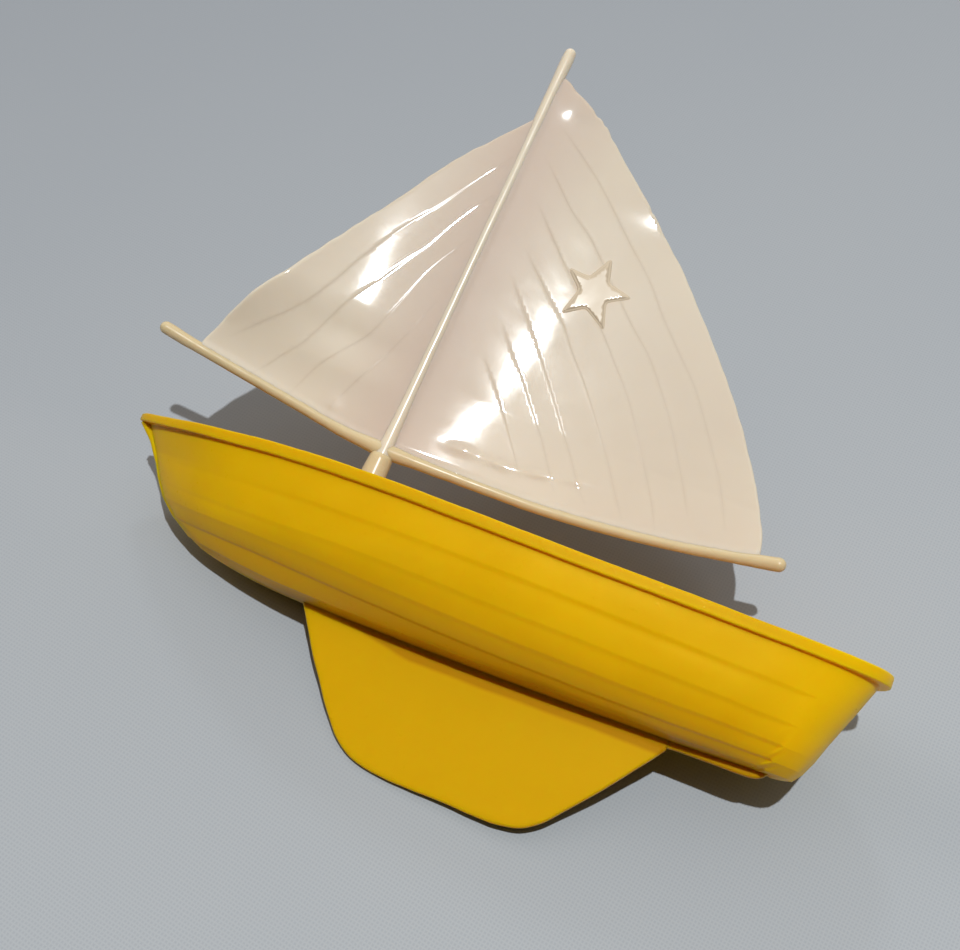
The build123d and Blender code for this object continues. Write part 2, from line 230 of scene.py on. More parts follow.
def band(first, second):
    """Faces between two closed rows of vertex numbers; a row may be one number repeated."""
    faces = []
    for i in range(len(first)):
        j = (i + 1) % len(first)
        face = tuple(dict.fromkeys((first[i], first[j], second[j], second[i])))
        if len(face) > 2:
            faces.append(face)
    return faces


def bands(rows):
    return [face for first, second in zip(rows, rows[1:]) for face in band(first, second)]


def triangulate(points, edges, ring_size):
    """Triangles inside the ring of the first points. Returns points, triangles, ring numbers."""
    found = geometry.delaunay_2d_cdt([Vector(point) for point in points], edges,
                                     [list(range(ring_size))], 1, 1e-5)
    flat = np.array([[point[0], point[1]] for point in found[0]])
    home = {source: i for i, sources in enumerate(found[3]) for source in sources}
    return flat, found[2], [home[i] for i in range(ring_size)]


def sheet(outline, grid, edge, half, place, creases=(), relief=None, under=None):
    """A thin sheet on a 2-D outline, with its rim rounded by edge.

    half is half the thickness, a number or a function of the 2-D points. place(flat, height)
    gives points in mm at a height over the middle surface. relief and under raise the two faces.
    """
    outline = anticlockwise(outline)
    core = inset(outline, edge)
    size = len(core)
    low, high = core.min(0), core.max(0)
    columns = np.arange(low[0] + grid / 2, high[0], grid)
    lines = np.arange(low[1] + grid / 2, high[1], grid * 0.866)
    fill = np.stack(np.meshgrid(columns, lines, indexing="ij"), -1)
    fill[:, 1::2, 0] += grid / 2
    fill = fill.reshape(-1, 2)
    fill = fill[inside(fill, core)]
    fill = fill[nearest(fill, core, True)[0] > grid * 0.55]
    points = list(core)
    edges = []
    for crease in creases:
        kept = inside(crease, core) & (nearest(crease, core, True)[0] > 0.12)
        fill = fill[nearest(fill, crease)[0] > min(grid * 0.6, 0.16)]
        numbers = []
        for point, keep in zip(crease, kept):
            numbers.append(len(points) if keep else None)
            if keep:
                points.append(point)
        edges += [pair for pair in zip(numbers, numbers[1:]) if None not in pair]
    flat, triangles, ring = triangulate(points + list(fill), edges, size)

    half_at = half if callable(half) else lambda at: np.full(len(at), half)
    top = half_at(flat) + (relief(flat) if relief else 0)
    bottom = -half_at(flat) - (under(flat) if under else 0)
    verts = [place(flat, top), place(flat, bottom)]
    count = len(flat)
    faces = []
    for a, b, c in triangles:
        faces.append((a, b, c))
        faces.append((count + a, count + c, count + b))

    # the rounded rim: rows from the top ring out over the edge to the bottom ring
    quarter = 5
    middle = (top[ring] + bottom[ring]) / 2
    round_height = np.minimum(edge, (top[ring] - bottom[ring]) / 2)
    straight = np.maximum(half_at(core) - edge, 0)
    rows = [ring]
    for k in range(1, 2 * quarter):
        angle = math.pi * k / (2 * quarter)
        height = middle + math.cos(angle) * round_height + straight * np.sign(quarter - k)
        verts.append(place(inset(outline, edge * (1 - math.sin(angle))), height))
        start = 2 * count + (k - 1) * size
        rows.append(range(start, start + size))
    rows.append([count + i for i in ring])
    for first, second in zip(rows, rows[1:]):
        for i in range(size):
            j = (i + 1) % size
            faces.append((first[i], second[i], second[j], first[j]))
    return np.vstack(verts), faces


ROD_RING = 28       # points round a rod
ROD_CAP = 6         # rows in each domed end


def tube(path, radius, seed, unevenness):
    """A slightly uneven round rod with domed ends and a mould ridge down both sides."""
    ahead = tangents(path)
    angles = [math.pi / 2 * k / ROD_CAP for k in range(1, ROD_CAP + 1)]
    rows = [(path[0] - ahead[0] * radius[0] * math.cos(a), radius[0] * math.sin(a), ahead[0])
            for a in angles]
    rows += zip(path[1:-1], radius[1:-1], ahead[1:-1])
    rows += [(path[-1] + ahead[-1] * radius[-1] * math.cos(a), radius[-1] * math.sin(a),
              ahead[-1]) for a in reversed(angles)]
    turn = np.arange(ROD_RING) * 2 * math.pi / ROD_RING
    ridges = sum(0.03 * np.exp(-(np.angle(np.exp(1j * (turn - at))) / 0.16) ** 2)
                 for at in (math.pi / 2, -math.pi / 2))
    verts = []
    along = 0.0
    previous = rows[0][0]
    for centre, size, direction in rows:
        along += np.linalg.norm(centre - previous)
        previous = centre
        side = PORT - (PORT @ direction) * direction
        side /= np.linalg.norm(side)
        other = np.cross(direction, side)
        swell = unevenness * wobble(along * 0.55, np.cos(turn) * 0.6 + seed, np.sin(turn) * 0.6)
        reach = size + (swell + ridges) * min(1.0, size / radius.mean()) ** 2
        verts.append(centre + (np.cos(turn) * reach)[:, None] * side
                     + (np.sin(turn) * reach)[:, None] * other)
    numbers = np.arange(len(rows) * ROD_RING).reshape(-1, ROD_RING)
    faces = bands(numbers)
    verts.append(np.array([path[0] - ahead[0] * radius[0], path[-1] + ahead[-1] * radius[-1]]))
    first_tip = numbers.size
    for j in range(ROD_RING):
        k = (j + 1) % ROD_RING
        faces.append((first_tip, k, j))
        faces.append((first_tip + 1, numbers[-1][j], numbers[-1][k]))
    return np.vstack(verts), faces


def lathe(profile, ring=72, wave=0.0):
    """Turns (radius, height) rows round the mast axis; wave puts the round out of true."""
    side = np.cross(AXIS, PORT)
    side /= np.linalg.norm(side)
    other = np.cross(AXIS, side)
    turn = np.arange(ring) * 2 * math.pi / ring
    verts, rows = [], []
    count = 0
    for radius, height in profile:
        centre = PIVOT + AXIS * height
        if radius < 1e-6:
            verts.append(centre[None])
            rows.append([count] * ring)
            count += 1
            continue
        reach = radius * (1 + wave * np.sin(3 * turn + height))
        verts.append(centre + (np.cos(turn) * reach)[:, None] * side
                     + (np.sin(turn) * reach)[:, None] * other)
        rows.append(list(range(count, count + ring)))
        count += ring
    return np.vstack(verts), bands(rows)


def fillet_profile(corners):
    """A 2-D line through (radius, height, rounding) corners, each rounded in 5 steps."""
    points = [np.array(corner[:2], float) for corner in corners]
    result = [points[0]]
    for i in range(1, len(points) - 1):
        before, corner, after = points[i - 1:i + 2]
        length_in = np.linalg.norm(before - corner)
        length_out = np.linalg.norm(after - corner)
        rounding = min(corners[i][2], 0.48 * length_in, 0.48 * length_out)
        start = corner + (before - corner) / length_in * rounding
        end = corner + (after - corner) / length_out * rounding
        result += [bend(start, corner, end, k / 5) for k in range(6)]
    return result + [points[-1]]


# ---------------------------------------------------------------- materials
class Graph:
    """Builds a node tree. Inputs are given as sockets or values, colours as three numbers."""

    def __init__(self, owner, output="OutputMaterial"):
        owner.use_nodes = True
        self.tree = owner.node_tree
        self.tree.nodes.clear()
        self.surface = self.tree.nodes.new("ShaderNode" + output).inputs["Surface"]

    def add(self, kind, inputs=None, **settings):
        """A new node; returns its outputs."""
        made = self.tree.nodes.new("ShaderNode" + kind)
        for key, value in settings.items():
            setattr(made, key, value)
        for key, value in (inputs or {}).items():
            socket = made.inputs[key]
            if isinstance(value, bpy.types.NodeSocket):
                self.tree.links.new(value, socket)
            else:
                socket.default_value = (*value, 1) if socket.type == "RGBA" else value
        return made.outputs

    def finish(self, shader):
        self.tree.links.new(shader, self.surface)

    def place(self):
        return self.add("TexCoord")["Object"]

    def xyz(self, place):
        return self.add("SeparateXYZ", {0: place})

    def calc(self, operation, *values):
        return self.add("Math", dict(enumerate(values)), operation=operation)[0]

    def noise(self, place, scale, detail, roughness=0.5, distortion=0.0, stretch=None):
        if stretch is not None:
            place = self.add("Mapping", {"Vector": place, "Scale": stretch})["Vector"]
        return self.add("TexNoise", {"Vector": place, "Scale": scale, "Detail": detail,
                                     "Roughness": roughness, "Distortion": distortion})["Fac"]

    def ramp(self, value, span, to=(0.0, 1.0), curve="LINEAR"):
        """Maps the span of values onto to, held at both ends."""
        return self.add("MapRange", {"Value": value, "From Min": span[0], "From Max": span[1],
                                     "To Min": to[0], "To Max": to[1]},
                        clamp=True, interpolation_type=curve)["Result"]

    def blend(self, under, over, amount):
        """Mixes two colours; 0, 6 and 7 are the factor and colour sockets."""
        return self.add("Mix", {0: amount, 6: under, 7: over}, data_type="RGBA")[2]

    def bump(self, height, strength, distance, normal=None):
        inputs = {"Height": height, "Strength": strength, "Distance": distance}
        if normal is not None:
            inputs["Normal"] = normal
        return self.add("Bump", inputs)["Normal"]


def below_rim(depth):
    return (RIM_Z - depth) * MM


def hull_material():
    material = bpy.data.materials.new("hull_yellow")
    graph = Graph(material)
    ramp, blend = graph.ramp, graph.blend
    place = graph.place()
    cloud = graph.noise(place, scale=45, detail=3, roughness=0.55, distortion=0.6)
    flow = graph.noise(place, scale=160, detail=4, roughness=0.6, distortion=1.2,
                       stretch=(0.35, 1, 1))
    base = blend((0.82, 0.485, 0.003), (0.755, 0.435, 0.003), ramp(cloud, (0.3, 0.7)))
    base = blend(base, (0.84, 0.53, 0.01), ramp(flow, (0.45, 0.75), to=(0, 0.25)))
    xyz = graph.xyz(place)
    x, z = xyz["X"], xyz["Z"]
    waves = graph.noise(place, scale=60, detail=2)
    wavy = graph.calc("ADD", z, ramp(waves, (0.3, 0.7), to=(-0.0002, 0.0002)))
    # the lower edge of the painted shadow band at the fin's root drops towards the fore end of the
    # fin
    edge = graph.calc("ADD", wavy, ramp(x, (0.004, 0.015), to=(0.0, -0.0019)))
    shadow_band_edge = (below_rim(18.25), below_rim(17.75))
    # the thin fin and the rim are a little deeper than the body
    base = blend(base, (0.725, 0.405, 0.003), ramp(edge, shadow_band_edge, to=(0.8, 0.0)))
    rim = ramp(z, (below_rim(1.9), below_rim(1.5)), to=(0.0, 0.7))
    base = blend(base, (0.66, 0.385, 0.003), rim)
    # painted shade: deeper orange low on the hull, where the planks turn under away from the light
    # and glow orange; the colour is also lighter at the stern
    low = graph.calc("MULTIPLY", ramp(z, (below_rim(9.5), below_rim(15.8)), to=(0.0, 0.42)),
                     ramp(edge, shadow_band_edge))
    base = blend(base, (0.84, 0.35, 0.003), low)
    base = blend(base, (0.95, 0.56, 0.003), ramp(x, (-0.034, -0.045), to=(0.0, 0.8)))
    # painted shadow: a dark band at the root of the fin, where the hull casts its shadow on it
    painted_fin_shadow = graph.calc("MULTIPLY", ramp(edge, shadow_band_edge, to=(0.0, 0.70)),
                      ramp(wavy, (below_rim(15.9), below_rim(15.3)), to=(1.0, 0.0)))
    base = blend(base, (0.46, 0.19, 0.003), painted_fin_shadow)
    # painted shade: corners are darker, where shade falls in them
    open_air = graph.add("AmbientOcclusion", {"Distance": 0.0018}, samples=6)["AO"]
    painted_corner_shade = graph.calc("MULTIPLY", ramp(open_air, (0.25, 0.85), to=(1, 0)), 0.28)
    base = blend(base, (0.46, 0.19, 0.001), painted_corner_shade)
    # fine specks are glossier and stand out a little
    fine = graph.noise(place, scale=1500, detail=2)
    roughness = graph.calc("ADD", ramp(flow, (0.3, 0.7), to=(0.34, 0.46)),
                           ramp(fine, (0.66, 0.74), to=(0.0, -0.2)))
    normal = graph.bump(flow, strength=0.22, distance=0.00012)
    normal = graph.bump(ramp(fine, (0.6, 0.75)), strength=0.35, distance=0.00002, normal=normal)
    graph.finish(graph.add("BsdfPrincipled", {
        "Base Color": base,
        "Roughness": roughness,
        "Specular IOR Level": 0.30,
        "Specular Tint": (1.0, 0.74, 0.12),
        "IOR": 1.40,
        "Subsurface Weight": 0.70,
        "Subsurface Radius": (1.0, 0.46, 0.05),
        "Subsurface Scale": 0.0022,
        "Normal": normal,
    })[0])
    return material


def cream_material(name, scatter, roughness, brightness=1.0, yellowing=0.0, bloom=0.0,
                   tint=(1.0, 1.0, 1.0)):
    material = bpy.data.materials.new(name)
    graph = Graph(material)
    ramp, blend = graph.ramp, graph.blend
    place = graph.place()
    cloud = graph.noise(place, scale=38, detail=3, distortion=0.4)
    light, deep = [[part * brightness * share for part, share in zip(colour, tint)]
                   for colour in ((0.735, 0.640, 0.515), (0.690, 0.592, 0.475))]
    base = blend(light, deep, ramp(cloud, (0.35, 0.65)))
    if yellowing:
        yellow = [part * brightness for part in (0.76, 0.60, 0.34)]
        base = blend(base, yellow, yellowing)
    else:
        # painted shade: pinker and greyer close to the mast, where the shaded cloth behind shows
        # through the thin sheet
        xyz = graph.xyz(place)
        lean = graph.calc("MULTIPLY", xyz["Z"], -AXIS[0] / AXIS[2])
        mast_x = (PIVOT[0] - PIVOT[2] * AXIS[0] / AXIS[2]) * MM
        offset = graph.calc("SUBTRACT", graph.calc("ADD", xyz["X"], lean), mast_x)
        near = ramp(graph.calc("ABSOLUTE", offset), (0.001, 0.011), to=(0.85, 0.0))
        base = blend(base, (0.625, 0.50, 0.415), near)
    # painted shade: a thin pale-brown line along each seam, where the step at the seam lies in
    # shade
    seam = graph.add("Attribute", attribute_name="seam")["Fac"]
    base = blend(base, (0.36, 0.25, 0.165), graph.calc("MULTIPLY", seam, 0.16))
    wave = graph.noise(place, scale=120, detail=3, distortion=1.0)
    ripple = graph.noise(place, scale=420, detail=2, distortion=0.5)
    normal = graph.bump(wave, strength=0.05, distance=0.00012)
    normal = graph.bump(ripple, strength=0.10, distance=0.00003, normal=normal)
    graph.finish(graph.add("BsdfPrincipled", {
        "Base Color": base,
        "Roughness": ramp(wave, (0.3, 0.7), to=(roughness * 0.8, roughness * 1.3)),
        "IOR": 1.5,
        "Specular IOR Level": 0.36,
        # the coat is a milky bloom round each highlight
        "Coat Weight": bloom,
        "Coat Roughness": 0.36,
        "Coat IOR": 1.5,
        "Subsurface Weight": scatter,
        "Subsurface Radius": (1.0, 0.82, 0.62),
        "Subsurface Scale": 0.0013,
        "Normal": normal,
    })[0])
    return material


def cloth_material():
    material = bpy.data.materials.new("floor_cloth")
    graph = Graph(material)
    ramp, blend = graph.ramp, graph.blend
    place = graph.place()
    cloud = graph.noise(place, scale=14, detail=3)
    base = blend((0.455, 0.478, 0.500), (0.435, 0.460, 0.488), ramp(cloud, (0.3, 0.7)))
    # two sets of threads, square to each other
    threads = []
    for turn, scale in ((0.12, 725.0), (0.12 + math.pi / 2, 650.0)):
        turned = graph.add("Mapping", {"Vector": place, "Rotation": (0, 0, turn)})["Vector"]
        threads.append(graph.add("TexWave", {
            "Vector": turned, "Scale": scale, "Distortion": 2.2, "Detail": 1.5,
            "Detail Scale": 0.6}, wave_type="BANDS", bands_direction="X")["Fac"])
    weave = graph.calc("MAXIMUM", *threads)
    base = blend(base, (0.30, 0.32, 0.36), ramp(weave, (0.2, 1.0), to=(0.34, 0.0)))
    # painted shade: the cloth darkens towards local +x and -y, where the lamp's light falls off
    xyz = graph.xyz(place)
    slant = graph.calc("SUBTRACT", graph.calc("MULTIPLY", xyz["X"], 0.75),
                       graph.calc("MULTIPLY", xyz["Y"], 0.9))
    base = blend(base, (0.27, 0.29, 0.325), ramp(slant, (-0.085, 0.20), to=(0.0, 0.77)))
    cloth = graph.add("BsdfPrincipled", {
        "Base Color": base,
        "Roughness": 0.85,
        "Specular IOR Level": 0.2,
        "Sheen Weight": 0.1,
        "Normal": graph.bump(weave, strength=0.25, distance=0.00002),
    })[0]
    # seen from behind, the floor lets the view through to the far side of the boat
    behind = graph.calc("MULTIPLY", graph.add("NewGeometry")["Backfacing"],
                        graph.add("LightPath")["Is Camera Ray"])
    clear = graph.add("BsdfTransparent")[0]
    graph.finish(graph.add("MixShader", {0: behind, 1: cloth, 2: clear})[0])
    return material


YELLOW = hull_material()
SAIL = cream_material("sail_cream", scatter=0.55, roughness=0.055, bloom=0.15)
# the star scatters no light inside it, so its cream is darkened and warmed as painted shade, to
# match the sheet round it
STAR = cream_material("star_cream", scatter=0.0, roughness=0.09, brightness=0.94, bloom=0.12,
                      tint=(1.0, 0.945, 0.86))
ROD = cream_material("rod_cream", scatter=0.45, roughness=0.28, brightness=0.90, yellowing=0.90)
# the mast is paler than the sails: partly its own cream, partly a painted highlight along the
# glossy rod
MAST = cream_material("mast_cream", scatter=0.45, roughness=0.22, brightness=1.12,
                      yellowing=0.12, bloom=0.20)
CLOTH = cloth_material()

# ---------------------------------------------------------------- hull lines
# Port side, bow to stern: (x, y, z from the rim tips).
RIM = [
    (50, 0, 0), (48.9, 1.25, -.06), (47, 2.8, -.18), (44, 4.9, -.27), (40, 7.3, -.3),
    (36, 9.3, -.3), (32, 10.8, -.27), (26, 12.4, -.15), (20, 13.25, -.08), (14, 13.55, -.1),
    (8, 13.6, -.2), (2, 13.45, -.33), (-6, 13.1, -.5), (-14, 12.55, -.63), (-22, 11.8, -.7),
    (-30, 10.7, -.73), (-36, 9.6, -.7), (-41, 8.35, -.6), (-45, 6.65, -.45), (-48, 4.4, -.3),
    (-49.5, 2.2, -.2), (-50, 0, -.15)]
# where the underside of the rim meets the top plank
SIDE = [
    (48.5, 0, -1.15), (46.4, 2.1, -1.25), (43.3, 4.3, -1.4), (39.6, 6.5, -1.5),
    (35.7, 8.5, -1.6), (31.8, 10.05, -1.65), (26, 11.65, -1.65), (20, 12.5, -1.65),
    (14, 12.8, -1.68), (8, 12.85, -1.75), (2, 12.7, -1.85), (-6, 12.35, -2.0),
    (-14, 11.8, -2.15), (-22, 11.05, -2.22), (-30, 9.95, -2.25), (-36, 8.85, -2.22),
    (-40.8, 7.6, -2.15), (-44.4, 5.95, -2.0), (-47.1, 3.85, -1.85), (-48.4, 1.9, -1.75),
    (-48.8, 0, -1.7)]
# the laps between planks, top to bottom
LAPS = [
    [(46.3, 0, -4.3), (44.5, 1.5, -4.5), (41, 3.9, -4.85), (36.8, 6.5, -5.15), (32, 8.8, -5.3),
     (28.3, 10.1, -5.37), (21.1, 11.7, -5.43), (14.4, 12.3, -5.45), (7.9, 12.45, -5.5),
     (-1.3, 12.2, -5.62), (-10, 11.75, -5.8), (-21.1, 10.8, -6.05), (-32, 9.25, -6.25),
     (-38, 8.05, -6.3), (-42.8, 6.4, -6.35), (-45.2, 4.5, -6.35), (-46.5, 2.3, -6.35),
     (-46.9, 0, -6.35)],
    [(44.5, 0, -7.15), (42.4, 1.7, -7.5), (39, 4.1, -8.0), (35.4, 6.15, -8.4), (31, 8.05, -8.7),
     (26.9, 9.45, -8.88), (19.7, 10.95, -9.0), (13.1, 11.4, -9.07), (6.6, 11.5, -9.17),
     (-1.3, 11.3, -9.4), (-12, 10.8, -9.65), (-23.9, 9.75, -9.88), (-33, 8.35, -10.0),
     (-38, 7.3, -10.03), (-41.9, 6.1, -10.05), (-43.9, 4.3, -10.05), (-45.0, 2.2, -10.05),
     (-45.3, 0, -10.05)],
    [(42.7, 0, -9.4), (40.6, 1.7, -9.7), (36.5, 4.4, -10.25), (32.4, 6.4, -10.6),
     (28, 7.9, -10.85), (24, 8.8, -11.03), (17, 9.65, -11.35), (10.3, 9.95, -11.7),
     (-1.1, 9.85, -12.2), (-12, 9.4, -12.5), (-21, 8.75, -12.62), (-31, 7.5, -12.58),
     (-37, 6.5, -12.5), (-41.5, 5.3, -12.44), (-43.2, 3.7, -12.42), (-44.0, 1.9, -12.4),
     (-44.3, 0, -12.4)],
    [(40.3, 0, -11.3), (38.4, 1.45, -11.5), (34, 3.8, -12.0), (29.1, 5.55, -12.4),
     (25, 6.5, -12.68), (21.4, 7.05, -12.93), (14.6, 7.6, -13.38), (7.7, 7.75, -13.78),
     (-.6, 7.66, -14.15), (-11, 7.3, -14.4), (-20.8, 6.75, -14.46), (-31, 5.8, -14.38),
     (-37, 5.05, -14.27), (-41.1, 4.15, -14.15), (-42.6, 2.9, -14.1), (-43.2, 1.5, -14.1),
     (-43.4, 0, -14.1)],
    [(37.1, 0, -13.05), (35.2, 1.0, -13.35), (32, 2.15, -13.85), (28.5, 3.1, -14.35),
     (24, 3.85, -14.8), (19, 4.35, -15.1), (10, 4.6, -15.4), (0, 4.65, -15.6),
     (-13, 4.35, -15.65), (-26.2, 3.85, -15.55), (-34, 3.35, -15.4), (-40, 2.75, -15.2),
     (-41.8, 1.9, -15.1), (-42.4, 1.0, -15.05), (-42.6, 0, -15.05)]]
KEEL = [
    LAPS[-1][0], (34.6, 0, -14.05), (31, 0, -14.85), (27, 0, -15.45), (22, 0, -15.85),
    (15, 0, -16.05), (7, 0, -16.15), (0, 0, -16.2), (-13, 0, -16.2), (-26, 0, -16.1),
    (-34, 0, -15.95), (-39.5, 0, -15.65), (-41.6, 0, -15.4), LAPS[-1][-1]]
# outward direction (y, z) of the planking at each lap
LAP_FACING = ((.99, .02), (.96, -.15), (.85, -.45), (.60, -.75), (.35, -.92))
LAP_STEP = 0.19
WALL = 1.3
RIM_OVER = 0.75     # how far the rim reaches in beyond the wall
# the inside of the hull, bottom to top: (outer line, shift at the bow, widening, lift)
INSIDE = (
    (LAPS[4], -2.4, -0.45, 1.22), (LAPS[3], -2.6, -0.80, 1.05), (LAPS[2], -2.8, -1.10, 0.70),
    (LAPS[1], -2.8, -1.25, 0.30), (LAPS[0], -2.8, -1.30, 0.10), (SIDE, -2.8, -1.30, 0.0))
INSIDE_STEPS = 5
ROUND_POINTS = 5    # points round each corner of the section


def stations():
    """Shares of the length at which the hull lines are cut, closer at bow and stern."""
    length = 113
    shares = [0.0]
    while shares[-1] < 1.0:
        run = shares[-1] * length
        step = 0.16 if run < 6 else 0.26 if run < 96 else 0.13
        shares.append(shares[-1] + step / length)
    shares = np.array(shares)
    return shares / shares[-1]


STATIONS = stations()


def hull_line(points, crosses=True):
    """A hull line cut at the stations; one that crosses the centre plane leaves it squarely."""
    points = np.asarray(points, float) + (0, 0, RIM_Z)
    after = points[-2] * MIRROR if crosses else None
    return resample(spline(points, 12, after=after), STATIONS)


def drawn_in(line, bow, stern, widen, lift):
    """A line with its bow and stern ends shifted in x, its greatest width changed, and lifted."""
    bow_x, stern_x = line[0][0], line[-1][0]
    scale = ((bow_x + bow) - (stern_x + stern)) / (bow_x - stern_x)
    widest = max(point[1] for point in line) or 1.0
    return [((stern_x + stern) + (x - stern_x) * scale, y * (widest + widen) / widest, z + lift)
            for x, y, z in line]


def rounded(before, corner, after, radius):
    """Rows of points round a corner line of the hull section."""
    length_in = np.linalg.norm(before - corner, axis=1)[:, None] + 1e-9
    length_out = np.linalg.norm(after - corner, axis=1)[:, None] + 1e-9
    reach = np.minimum(np.minimum(radius, 0.45 * length_in), 0.45 * length_out)
    start = corner + (before - corner) / length_in * reach
    end = corner + (after - corner) / length_out * reach
    return [bend(start, corner, end, k / (ROUND_POINTS - 1)) for k in range(ROUND_POINTS)]


def lap_lines(line, facing_y, facing_z):
    """The outer and inner corner line of the step at a lap; it fades at bow and stern."""
    lap = hull_line(line)
    x, z = lap[:, 0], lap[:, 2] - RIM_Z
    stern_x = -43.0 + (z + 5.4) / (-14.2 + 5.4) * 2.9
    deep = ease((-8.5 - z) / 4.5)
    from_stern = ease((x - stern_x) / (2.4 - 1.85 * deep))
    strength = from_stern * ease((line[0][0] - 0.25 - x) / 3.0) * 0.96 + 0.04
    swell = (1 - from_stern) * (0.04 + 0.27 * deep)
    # on the centre plane the offset may not leave it
    off_centre = ease(np.abs(lap[:, 1]) / 0.8)
    outward = np.stack([np.where(x < -40, -0.35 * (1 - off_centre) - 0.25, 0.0),
                        facing_y * off_centre, np.full(len(lap), facing_z)], 1)
    down = np.stack([np.zeros(len(lap)), facing_z * off_centre,
                     np.full(len(lap), -facing_y)], 1)
    middle = lap + outward * (LAP_STEP * 0.5)
    step = outward * (LAP_STEP * 0.5 * strength)[:, None]
    shift = outward * swell[:, None]
    drop = down * (strength * off_centre)[:, None]
    return middle + step + shift - drop * 0.10, middle - step + shift + drop * 0.36


def outer_columns(inside_top):
    """Lines of the outer skin from the inner edge of the rim down to the keel."""
    rim_low = [(x, y, z - 1.5 + (0.5 * ((x - 20) / 30) ** 2 if x > 20 else 0.0))
               for x, y, z in RIM]
    # (line, rounding, points to the next corner, how far that span bulges, bulge y and z)
    corners = [
        (hull_line(drawn_in(RIM, -4.3, WALL + 1.2, -WALL - RIM_OVER, 0.0)), .22, 3, 0, (0, 0)),
        (hull_line(RIM), .28, 2, 0, (0, 0)),
        (hull_line(rim_low), .22, 1, 0, (0, 0)),
        (hull_line(SIDE), .16, 5, 0.05, (0.99, 0.05))]
    for line, facing in zip(LAPS, LAP_FACING):
        outer, inner = lap_lines(line, *facing)
        corners.append((outer, .24, 1, 0, (0, 0)))
        corners.append((inner, .18, 8 if line is LAPS[-1] else 6, 0.07, facing))
    keel = hull_line(KEEL, crosses=False)
    x = keel[:, 0]
    keel[:, 2] -= 0.30 * (1 - ease((x + 40.4) / 0.6)) * ease((x + 43.2) / 1.2)
    before = [inside_top] + [corner[0] for corner in corners]
    after = [corner[0] for corner in corners[1:]] + [keel]
    turns = [rounded(before[i], corner[0], after[i], corner[1])
             for i, corner in enumerate(corners)] + [[keel]]
    columns = []
    for i, (_, _, count, bulge, facing) in enumerate(corners):
        columns += turns[i]
        for k in range(1, count + 1):
            share = k / (count + 1)
            line = turns[i][-1] * (1 - share) + turns[i + 1][0] * share
            swell = bulge * 4 * share * (1 - share) * np.minimum(1, np.abs(line[:, 1]) / 2.0)
            columns.append(line + swell[:, None] * np.array([0, *facing]))
    return columns + [keel]


def inner_columns(inner, rim_edge):
    """Lines of a smooth inside through the inner lines, from the keel up to the rim."""
    chain = inner + [rim_edge]
    columns = []
    for i in range(len(inner)):
        here, ahead = chain[i], chain[i + 1]
        back = chain[i - 1] if i else chain[1] * MIRROR
        beyond = chain[i + 2] if i + 2 < len(chain) else 2 * ahead - here
        for k in range(INSIDE_STEPS):
            t = k / INSIDE_STEPS
            columns.append(0.5 * (2 * here + (ahead - back) * t
                                  + (2 * back - 5 * here + 4 * ahead - beyond) * t ** 2
                                  + (3 * here - back - 3 * ahead + beyond) * t ** 3))
    return columns


def hull_shape():
    inner = [drawn_in(line, bow, WALL, widen, lift) for line, bow, widen, lift in INSIDE]
    inner_keel = drawn_in(KEEL, INSIDE[0][1], WALL, 0, WALL)
    inner_keel[0], inner_keel[-1] = inner[0][0], inner[0][-1]
    inner = [hull_line(inner_keel, crosses=False)] + [hull_line(line) for line in inner]
    columns = outer_columns(inner[-1])
    keel_column = len(columns) - 1
    columns += inner_columns(inner, columns[0])
    skin = np.stack(columns, 1)                 # station, section, xyz
    count, section = skin.shape[:2]
    # the moulding is softly uneven along the rim and planks, but not on the centre plane
    x, y, z = skin.reshape(-1, 3).T
    broad = wobble(x * 0.16, y * 0.2, z * 0.25)
    fine = wobble(x * 0.9, y * 0.5, z * 0.7 + 9)
    off_centre = ease(np.abs(y) / 1.2)
    skin = np.stack([x, y + (0.07 * broad + 0.015 * fine) * off_centre,
                     z + (0.05 * broad + 0.02 * fine) * off_centre], 1)
    skin = skin.reshape(count, section, 3)
    skin[[0, -1], :, 1] = 0.0
    port = skin.reshape(-1, 3)
    faces = []
    for i in range(count - 1):
        for j in range(section):
            # the two halves meet at the keel, so no face joins it to the inside
            if j == keel_column:
                continue
            k = (j + 1) % section
            a, b = i * section + j, i * section + k
            c, d = b + section, a + section
            faces.append((a, b, c, d))
            faces.append(tuple(len(port) + number for number in (a, d, c, b)))
    return np.vstack([port, port * MIRROR]), faces


build("hull_planked_shell", hull_shape(), YELLOW, "hull", "hull_shell")

# ---------------------------------------------------------------- stem band
# A narrow band down the bow, on the centre plane: (x, z from the rim).
STEM = [
    (49.3, -1.0), (47.6, -2.8), (46.2, -5.0), (44.6, -7.5), (42.9, -9.6), (41.0, -11.25),
    (38.3, -12.8), (35.2, -13.95), (31.6, -14.95), (27.6, -15.65), (23.5, -16.1),
    (19.0, -16.35), (15.5, -16.45)]
STEM_DEPTH = 1.25
STEM_ROUND = 0.34


def stem_shape():
    count = 150
    path = curve(np.array(STEM) + (0, RIM_Z), count, 12)
    forward = left_normals(path)
    forward *= np.sign(forward[:, :1] + 1e-9)
    share = np.linspace(0, 1, count)
    halves = np.interp(share, [0, .06, .14, .8, 1], [.30, .46, .66, .66, .50])
    sinks = np.interp(share, [0, .04, .09, .16, .3, .7, 1],
                      [-.45, -.30, .05, .45, .46, .30, .45])
    verts = []
    for at, normal, half, sink in zip(path, forward, halves, sinks):
        profile = [(-half, -STEM_DEPTH), (-half, -0.6)]
        profile += [(-half + STEM_ROUND * (1 - math.cos(a)), -STEM_ROUND * (1 - math.sin(a)))
                    for a in np.linspace(0, math.pi / 2, 6)]
        profile += [(-y, out) for y, out in reversed(profile)]
        for y, out in profile:
            x, z = at + normal * (out - sink)
            verts.append((x, y, z))
    rows = np.arange(len(verts)).reshape(count, -1)
    return np.array(verts), bands(rows) + [tuple(rows[0]), tuple(rows[-1][::-1])]


build("stem_band", stem_shape(), YELLOW, "hull")

